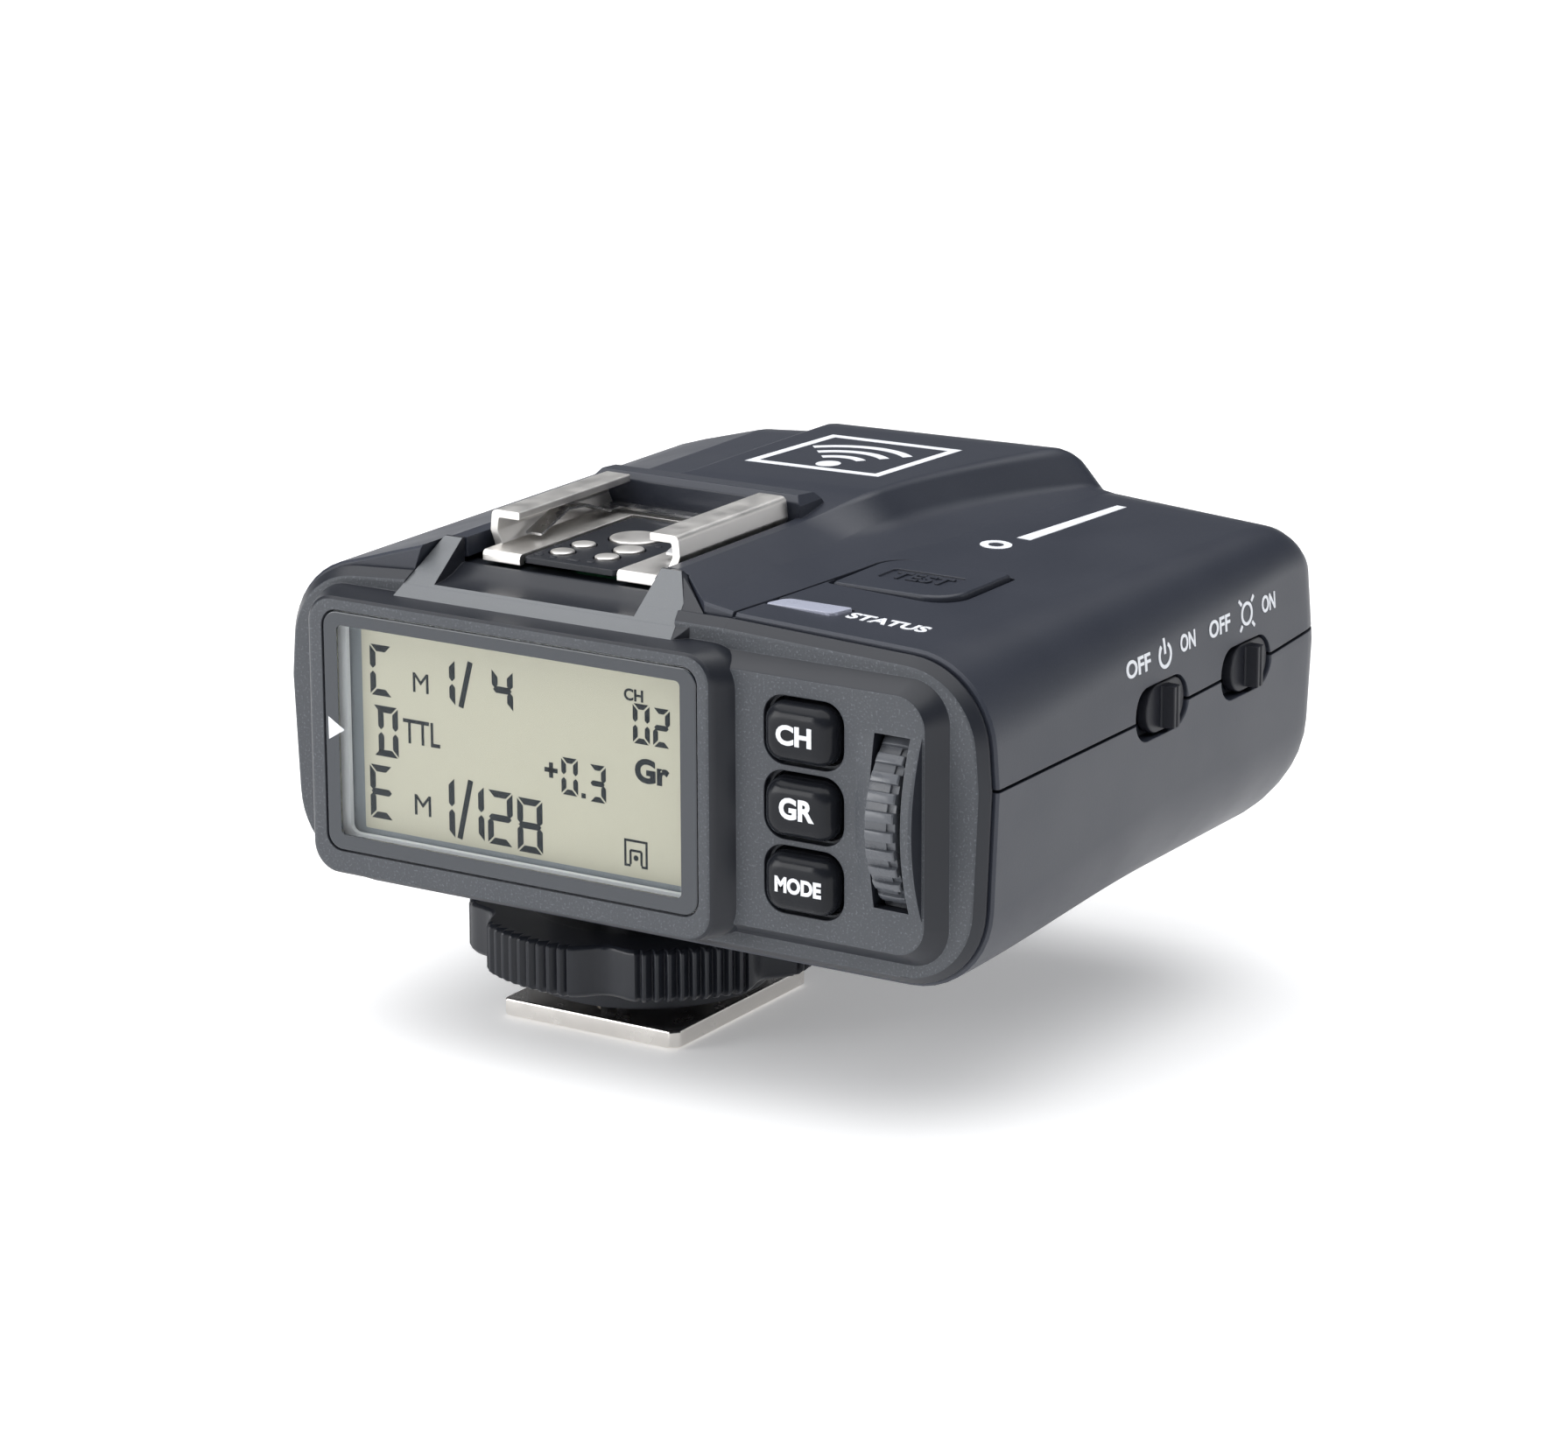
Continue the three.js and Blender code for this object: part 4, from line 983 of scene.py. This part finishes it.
def dial_wheel():
    x0, x1 = DIAL_X
    rows = ((x0, 0.25, 0.1), (x0 + 0.12, 0.06, 0.3), (x0 + 0.3, 0, 0.36), (x1 - 0.75, 0, 0.36),
            (x1 - 0.7, 0, 0.55), (x1 - 0.12, 0.06, 0.55), (x1, 0.2, 0.4))
    return cut(stack("dial_wheel", "x", rows, dial_loop), rod("x", DIAL_Y, DIAL_Z, 1.4, 30, 45))


dress(smooth(dial_wheel(), 25), "dial", "dial", DIAL_BLACK, "select_dial")


# ---- test key and status light
def on_test_key(u, v, lift):
    return (u, v, 43.78 + lift)


TEST_ROWS = ((42.0, 0), (43.7, 0), (43.86, 0.05), (43.97, 0.16), (44.0, 0.32))
test_cap = stack("test_key_cap", "z", TEST_ROWS, lambda inset: test_loop(-inset, 0.4, 3.0))
join(test_cap, prism("z", mid_rect(*TEST_AT, TEST_WIDTH + 1.6, TEST_DEPTH + 1.6, 2), 40.7, 41.2),
     prism("z", test_loop(-1, 0.4, 3.0), 41.0, 42.2))
cut(test_cap, pocket("z", grown(*TEST_AT, 7.4, 3.4, 0.5, 5), 44.0, 43.8, 0.05))
dress(smooth(test_cap), "test_key", "case", SLATE, "test_button")
test_word = word("TEST", (25.1, 30.9, -0.6, 1.6), on_test_key, 0.18, 0.02, "test_key_letters")
dress(test_word, "test_key", "case", SLATE)

LIGHT_ROWS = ((41.2, 0), (43.85, 0), (43.93, -0.04), (43.96, -0.14))
light = stack("status_lens", "z", LIGHT_ROWS, status_loop)
join(light, prism("z", mid_rect(*STATUS_AT, STATUS_WIDTH + 2.0, STATUS_DEPTH + 1.4, 0.8), 40.8, 41.4))
dress(smooth(light), "unit", "status_lens", LENS, "status_light")


# ---- slide switches
def slider(name, y):
    """Sliding plate at the ON end of its recess, with a ridge that has a notch along its crest."""
    end, grip = y + 4.7, y + 1.1
    rows = ((45.5, 0), (46.3, 0), (46.42, -0.06), (46.5, -0.2))
    knob = stack(name, "x", rows, grown(end - 3.5, SWITCH_Z, 7.0, 4.5, 2.1, 10))
    side = [(46.3, -0.95, 0), (46.6, -0.75, .2), (47.7, -0.55, .12), (47.7, -0.12, .1), (47.5, -0.05, .05),
            (47.5, 0.05, .05), (47.7, 0.12, .1), (47.7, 0.6, .12), (46.3, 0.75, 0)]
    ridge = prism("z", rounded([(x, grip + v, r) for x, v, r in side], 4), SWITCH_Z - 1.9, SWITCH_Z + 1.9)
    return join(knob, ridge, block(41.9, 45.7, grip - 1.0, grip + 1.0, SWITCH_Z - 0.9, SWITCH_Z + 0.9))


for name, y in SWITCHES.items():
    dress(smooth(slider(f"{name}_slider", y)), f"{name}_slider", "switch_black", SWITCH, f"{name}_switch")


# ---- accessory shoe
def rail_loop(side):
    """Folded sheet of one rail, from its outer foot over the lip to the inner floor."""
    half, lip, z, top, sheet = 10.05, 3.05, 45.0, 48.1, 0.7
    edge = half - sheet
    loop = [(half - 0.6, z - sheet, 0.25), (half + 0.1, z + 1.2, 0.5), (half - 0.1, top, 0.55),
            (half - lip, top, 0.12), (half - lip, top - sheet, 0.12), (edge - 0.1, top - sheet, 0.2),
            (edge + 0.05, z + 1.2, 0.4), (edge - 0.5, z, 0.15), (half - 4.85, z, 0.05),
            (half - 4.85, z - sheet, 0.05)]
    return rounded([(SHOE_X + side * u, v, r) for u, v, r in loop], 5)


def across(side, near, far):
    """Range in x of a strip on one side of the shoe."""
    return sorted((SHOE_X + side * near, SHOE_X + side * far))


TAB = rounded([(-11.8, 45.0, 0), (-14.6, 45.0, .45), (-14.6, 44.0, .1), (-13.9, 44.0, .1),
               (-13.9, 44.3, .1), (-11.8, 44.3, 0)], 5)
rails = block(SHOE_X - 9.3, SHOE_X + 9.3, 3.5, 5.8, 44.3, 45.0, "shoe_rails")
pieces = []
for side in (-1, 1):
    pieces.append(prism("y", rail_loop(side), -12.0, 5.8, "rail"))
    pieces.append(prism("x", TAB, *across(side, 5.2, 9.2), "tab"))
join(rails, *pieces)
bevel(rails, 0.07, 2, 50)
dress(smooth(rails, 30), "unit", "nickel", NICKEL, "shoe_plate")

PADS = {"centre": (0.5, -3.6, 2.4), "1": (2.4, -7.6, 1.4), "2": (2.2, -10.8, 1.1), "3": (-2.3, -11.2, 1.1),
        "4": (-2.2, -8.0, 1.1)}
BUMPS = ((-3.6, -13.0, 0.9), (-1.9, -13.2, 0.7), (0.2, -13.1, 1.3), (1.9, -12.9, 0.8), (-3.9, -9.6, 0.7),
         (4.0, -5.2, 0.6))
floor_pad = prism("z", rect(SHOE_X - 4.9, SHOE_X + 4.9, -14.4, 3.2, 0.4, 4), 44.3, 44.86, "shoe_floor")
join(floor_pad, *[prism("z", mid_rect(x, y, w, 0.45, 0.2, 4), 44.6, 44.96) for x, y, w in BUMPS])
cut(floor_pad, *[rod("z", x, y, r + 0.2, 43, 46, 40) for x, y, r in PADS.values()])
bevel(floor_pad, 0.06, 2, 40)
dress(smooth(floor_pad), "unit", "black_plastic", DARK, "shoe_insulator")
for key, (x, y, r) in PADS.items():
    dome = [(r, 44.4), (r, 44.94), (r - 0.06, 45.01), (r - 0.2, 45.05), (r - 0.6, 45.09), (r * 0.3, 45.1)]
    disc = revolve(f"shoe_pad_{key}", "z", x, y, dome, 48)
    dress(smooth(disc), "unit", "contact", NICKEL, f"shoe_contact_{key}")

ARM = [(5.0, 45.35), (2.0, 45.35), (-1.5, 46.6), (-4.5, 46.9), (-9.0, 45.4)]
ARM_LOOP = ARM + [(y, z + 0.22) for y, z in reversed(ARM)]
spring = block(SHOE_X - 8.4, SHOE_X + 8.4, 3.6, 5.0, 45.35, 45.58, "leaf_spring")
join(spring, *[prism("x", ARM_LOOP, *across(side, 6.7, 8.4)) for side in (-1, 1)])
dress(smooth(spring), "unit", "spring_steel", STEEL, "shoe_spring")


# ---- locking foot
def foot_loop(inset=0.0):
    """Foot plate seen from above, with three cut corners and one small one."""
    width, depth = 9.4 - inset, 11.3 - inset
    cut_corner, small = 0.7 + inset * 0.4, 0.3 + inset * 0.3
    left = -width - 0.2
    corners = [(left + small, -depth, .2), (width - cut_corner, -depth, .3),
               (width, -depth + cut_corner, .3), (width, depth - cut_corner, .3),
               (width - cut_corner, depth, .3), (-width + cut_corner, depth, .3),
               (left, depth - cut_corner, .3), (left, -depth + small, .2)]
    return rounded(corners, 4)


FOOT_ROWS = ((0.0, 0.2), (0.08, 0.06), (0.2, 0.0), (1.5, 0.0), (1.62, 0.06), (1.7, 0.2))
foot = stack("foot_base", "z", FOOT_ROWS, foot_loop)
PIN = (0, -8.2)
cut(foot, block(-6.3, 6.3, -6.8, 6.8, -1, 1.0), rod("z", *PIN, 1.1, -1, 3))
dress(smooth(foot), "unit", "foot_metal", FOOT, "foot_plate")

# one knurl as (place along its pitch, depth)
KNURL = ((0.0, 0.62), (0.12, 0.1), (0.2, 0), (0.42, 0.06), (0.86, 0.66), (0.95, 0.7))


def ring_loop(shrink=0.0):
    """Lock ring seen from above: six knurled lobes with smooth hollows between them."""
    loop, lobes, knurls, hollow_steps, radius = [], 6, 9, 13, 16.6 - shrink
    knurled = math.radians(36)
    for lobe in range(lobes):
        start = math.radians(-119 + lobe * 60)
        for i in range(knurls):
            for t, depth in KNURL:
                loop.append((start + (i + t) / knurls * knurled, radius - depth))
        for i in range(hollow_steps):
            angle = start + knurled + i / hollow_steps * (math.pi / 3 - knurled)
            loop.append((angle, radius - 0.15 - 1.5 * math.sin(i / 12.5 * math.pi) ** 1.5))
    return [(STEM[0] + r * math.cos(a), STEM[1] + r * math.sin(a)) for a, r in loop]


def stem_hole():
    return revolve("tool", "z", *STEM, [(5.5, 0), (5.5, 20)], 48)


RING_ROWS = ((4.8, 0.9), (4.95, 0.45), (5.3, 0.08), (5.5, 0.0), (9.4, 0.0), (9.62, 0.12), (9.8, 0.4))
lock = stack("knurled_lock_ring", "z", RING_ROWS, ring_loop)
cut(lock, stem_hole(), revolve("tool", "z", *STEM, [(11.0, 9.1), (11.3, 10)], 72))
dress(smooth(lock, 28), "lock_ring", "lock", DARK, "lock_ring")

DISC_PROFILE = [(11.1, 2.62), (11.35, 2.7), (11.4, 2.9), (11.4, 4.3), (11.2, 4.6), (10.9, 4.7)]
disc = revolve("pressure_disc", "z", *STEM, DISC_PROFILE, 72)
cut(disc, stem_hole(), rod("z", *PIN, 1.0, 0, 4.1, 24))
dress(smooth(disc), "lock_disc", "black_plastic", DARK, "lock_disc")

# ---- case screws
SCREW_PROFILE = ((1.4, 0), (1.75, 0.25), (1.75, 0.9), (1.0, 1.0), (1.0, 5.4))
for i, (x, y, seat) in enumerate(SCREWS):
    screw = revolve("case_screw", "z", x, y, [(r, seat + rise) for r, rise in SCREW_PROFILE], 32)
    for u, v in ((1.1, 0.2), (0.2, 1.1)):
        cut(screw, block(x - u, x + u, y - v, y + v, seat - 0.5, seat + 0.5))
    dress(smooth(screw), "unit", "spring_steel", STEEL, f"case_screw_{i + 1}")

# ---- battery door
door = block(*DOOR, 13.4, 15.0, "battery_hatch")
bevel(door, 0.25, 3, 40)
cut(door, *[block(7.0, 12.0, 19.2 + 1.1 * k, 19.7 + 1.1 * k, 13.2, 13.6) for k in range(4)])
HINGE_ARM = [(35.4, 13.6), (36.2, 11.25), (38.7, 11.25), (38.7, 13.1), (37.2, 13.1), (37.2, 13.6)]
arms = []
for x in (-7.4, 26.4):
    for loop in (HINGE_ARM, circle(*HINGE, 0.95, 32)):
        arms.append(prism("x", loop, x - 2.1, x + 2.1))
join(door, *arms)
cut(door, rod("x", *HINGE, PIN_HOLE, -20, 40, 24))
dress(smooth(door), "battery_door", "case", SLATE, "battery_door")

# ---- focus lamp window
LENS_ROWS = ((40.5, 0, 2.3), (42.1, 0, 2.3), (42.24, -0.1, 2.2), (42.3, -0.3, 2.0))
lens = stack("focus_lamp_window", "y", LENS_ROWS, lambda grow, r: lamp_loop(grow, r, 10))
join(lens, prism("y", lamp_loop(0.9, 2.6), 39.7, 40.3), prism("y", lamp_loop(-0.3, 2.2), 40.2, 40.7))
dress(smooth(lens), "unit", "lamp_lens", RED, "af_lamp_window")


# ---- printed legends on the case
upper_tree = BVHTree.FromObject(upper, bpy.context.evaluated_depsgraph_get())


def on_case(start, down, lift):
    """Point on the upper case under the start point, raised by the lift from just inside the surface."""
    hit = upper_tree.ray_cast(Vector(start) * MM, Vector(down))[0]
    return tuple(hit / MM - Vector(down) * (lift - 0.03))


def on_top(u, v, lift):
    return on_case((u, v, 60), (0, 0, -1), lift)


def on_side(u, v, lift):
    return on_case((60, u, v), (-1, 0, 0), lift)


def arc(u, v, r, w, a0, a1, n=24):
    """Ring segment as a strip of quads."""
    quads = []
    for i in range(n):
        quad = []
        for k, radii in ((i, (r - w / 2, r + w / 2)), (i + 1, (r + w / 2, r - w / 2))):
            t = math.radians(a0 + (a1 - a0) * k / n)
            quad += [(u + radius * math.cos(t), v + radius * math.sin(t)) for radius in radii]
        quads.append(quad)
    return quads


def outline_quads(points, w):
    """Frame of width w inside a closed line of points."""
    n = len(points)
    inner = []
    for i in range(n):
        here = Vector(points[i])
        a = (Vector(points[i - 1]) - here).normalized()
        b = (Vector(points[(i + 1) % n]) - here).normalized()
        half = math.acos(a.dot(b)) / 2
        inner.append(tuple(here + (a + b).normalized() * (w / math.sin(half))))
    return [[points[i], points[(i + 1) % n], inner[(i + 1) % n], inner[i]] for i in range(n)]


def densify(quads, step=1.2):
    """Split long quads so that they follow a curved surface."""
    out = []
    for p, q, r, s in quads:
        length = max((Vector(p) - Vector(q)).length, (Vector(s) - Vector(r)).length)
        n = max(1, int(length / step))
        for i in range(n):
            t0, t1 = i / n, (i + 1) / n
            out.append([between(p, q, t0), between(p, q, t1), between(s, r, t1), between(s, r, t0)])
    return out


def power_icon(u, v):
    stem = [stroke(u, v + 0.1, u, v + 0.8, 0.33), stroke(u, v + 0.8, u, v + 1.5, 0.33)]
    return arc(u, v, 1.05, 0.33, 125, 415, 28) + stem


def lamp_icon(u, v):
    shapes = arc(u, v, 0.95, 0.3, 0, 360, 28)
    for degrees in (45, 135, 225, 315):
        c, s = math.cos(math.radians(degrees)), math.sin(math.radians(degrees))
        shapes.append(stroke(u + 1.35 * c, v + 1.35 * s, u + 2.0 * c, v + 2.0 * s, 0.3))
    return shapes


def waves_badge():
    """Framed icon of wireless waves on the head."""
    quads = outline_quads([(-2.9, 19.9), (12.1, 19.3), (13.1, 33.0), (-1.6, 33.6)], 0.95)
    for radius in (3.2, 5.5, 7.8):
        quads += arc(4.9, 22.2, radius, 0.95, 48, 132)
    return densify(quads + arc(4.9, 22.2, 0.6, 1.2, 0, 360, 20))


def deck_mark():
    """Plain bar and ring on the deck."""
    bar = densify([[(27.3, 18.6), (28.9, 34.6), (29.9, 34.6), (28.7, 18.6)]])
    return bar + arc(27.0, 15.3, 1.1, 0.75, 0, 360)


SIDE_WORDS = [("OFF", (4.4, 8.8, 36.3, 37.9)), ("ON", (14.4, 17.2, 36.5, 38.1)),
              ("OFF", (19.9, 23.9, 36.5, 38.1)), ("ON", (30.2, 32.8, 36.6, 38.2))]
prints = [word("STATUS", (28.7, 36.6, -13.8, -12.0), on_top, 0.07, 0.035)]
for text, box in SIDE_WORDS:
    prints.append(word(text, box, on_side, 0.09, 0.02))
prints.append(flat_shapes("icons", power_icon(11.5, 37.0) + lamp_icon(27.2, 37.3), on_side, 0.09))
prints.append(flat_shapes("badge", waves_badge(), on_top, 0.05))
prints.append(flat_shapes("mark", deck_mark(), on_top, 0.07))
dress(merge("case_print", prints), "unit", "case", INK)

# ---- carried-over nodes
CARRIED = [
    (WHITE, ["lcd_backlight", "status_led"]),
    (BOARD, ["control_board", "main_board", "switch_board"]),
    (STEEL, [f"{key}_tact_switch" for key in (*KEYS, "test")] + [f"{key}_switch_body" for key in SWITCHES]),
    (STEEL, ["dial_axle", "door_hinge_pin"]),
    (STEM_STEEL, ["foot_stem"]),
    # the lock pin gets this black as painted shade in its gap; the other parts are black plastic
    (BLACK_PARTS_AND_SHADE, ["dial_bracket", "foot_insulator", "lock_pin", "sync_jack"]),
    (CELL, ["battery_cell_1", "battery_cell_2"]),
    (NICKEL, [f"battery_contact_{key}" for key in ("bridge", "plus", "minus")] + ["usb_port"]),
    (GOLD, [f"foot_contact_{key}" for key in PADS]),
]
for material, names in CARRIED:
    for name in names:
        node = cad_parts[name]
        node.data.materials.clear()
        node.data.materials.append(material)

# ---- stage and light, in metres
bpy.ops.mesh.primitive_plane_add(size=12, location=(0, 0, -0.0002))
stage_floor = bpy.context.object
stage_floor.name = "stage_floor"
stage_floor.data.materials.append(surface("stage", (0.90, 0.90, 0.90), 0.8, grain=(4, 0.001),
                                          mottle=(300, 0.01), glow=0.30))

# grey of the studio by height: pale up to the horizon, dark just above it, lighter overhead
SKY = ((0.03, (0.92, 0.93, 0.95)), (0.13, (0.07, 0.074, 0.082)), (0.50, (0.10, 0.105, 0.115)),
       (0.75, (0.30, 0.31, 0.33)))
world = bpy.data.worlds.new("studio")
scene.world = world
graph = Graph(world)
out = graph.node("ShaderNodeOutputWorld")
back = graph.node("ShaderNodeBackground")
coords = graph.node("ShaderNodeTexCoord")
split = graph.node("ShaderNodeSeparateXYZ")
sky = graph.node("ShaderNodeValToRGB")
stops = sky.color_ramp.elements
while len(stops) < len(SKY):
    stops.new(0.5)
for stop, (height, tone) in zip(stops, SKY):
    stop.position = height
    stop.color = (*tone, 1)
graph.link(coords.outputs["Generated"], split.inputs[0])
graph.link(split.outputs["Z"], sky.inputs[0])
graph.link(sky.outputs[0], back.inputs[0])
graph.link(back.outputs[0], out.inputs[0])


def softbox(name, position, target, size, power):
    light = bpy.data.lights.new(name, "AREA")
    light.shape = "RECTANGLE"
    light.size, light.size_y = size
    light.energy = power
    obj = add_object(name, light)
    obj.location = position
    obj.rotation_euler = (Vector(target) - Vector(position)).to_track_quat("-Z", "Y").to_euler()


MIDDLE = (0.01, 0.01, 0.028)
softbox("overhead", (-0.15, -0.1, 1.3), MIDDLE, (2.4, 2.4), 38.0)
softbox("front_left", (-0.8, -0.9, 0.26), MIDDLE, (0.7, 0.6), 8.0)
softbox("right_rear", (0.9, 0.7, 0.45), MIDDLE, (0.5, 0.5), 0.9)

# ---- camera: its place in millimetres and its turns in degrees
CAMERA_AT = (255.208, -383.058, 156.847)
HEADING, TILT, ROLL = 32.2078, -15.7315, -0.1812
scene.view_settings.view_transform = "Standard"
camera_data = bpy.data.cameras.new("camera")
camera_data.sensor_width = 36
camera_data.lens = 119.85
camera_data.clip_start = 0.01
camera_data.clip_end = 20
camera = add_object("camera", camera_data)
placed = Matrix.Translation(Vector(CAMERA_AT) * MM)
for angle, axis in ((HEADING, "Z"), (90 + TILT, "X"), (ROLL, "Z")):
    placed = placed @ Matrix.Rotation(math.radians(angle), 4, axis)
camera.matrix_world = placed
scene.camera = camera
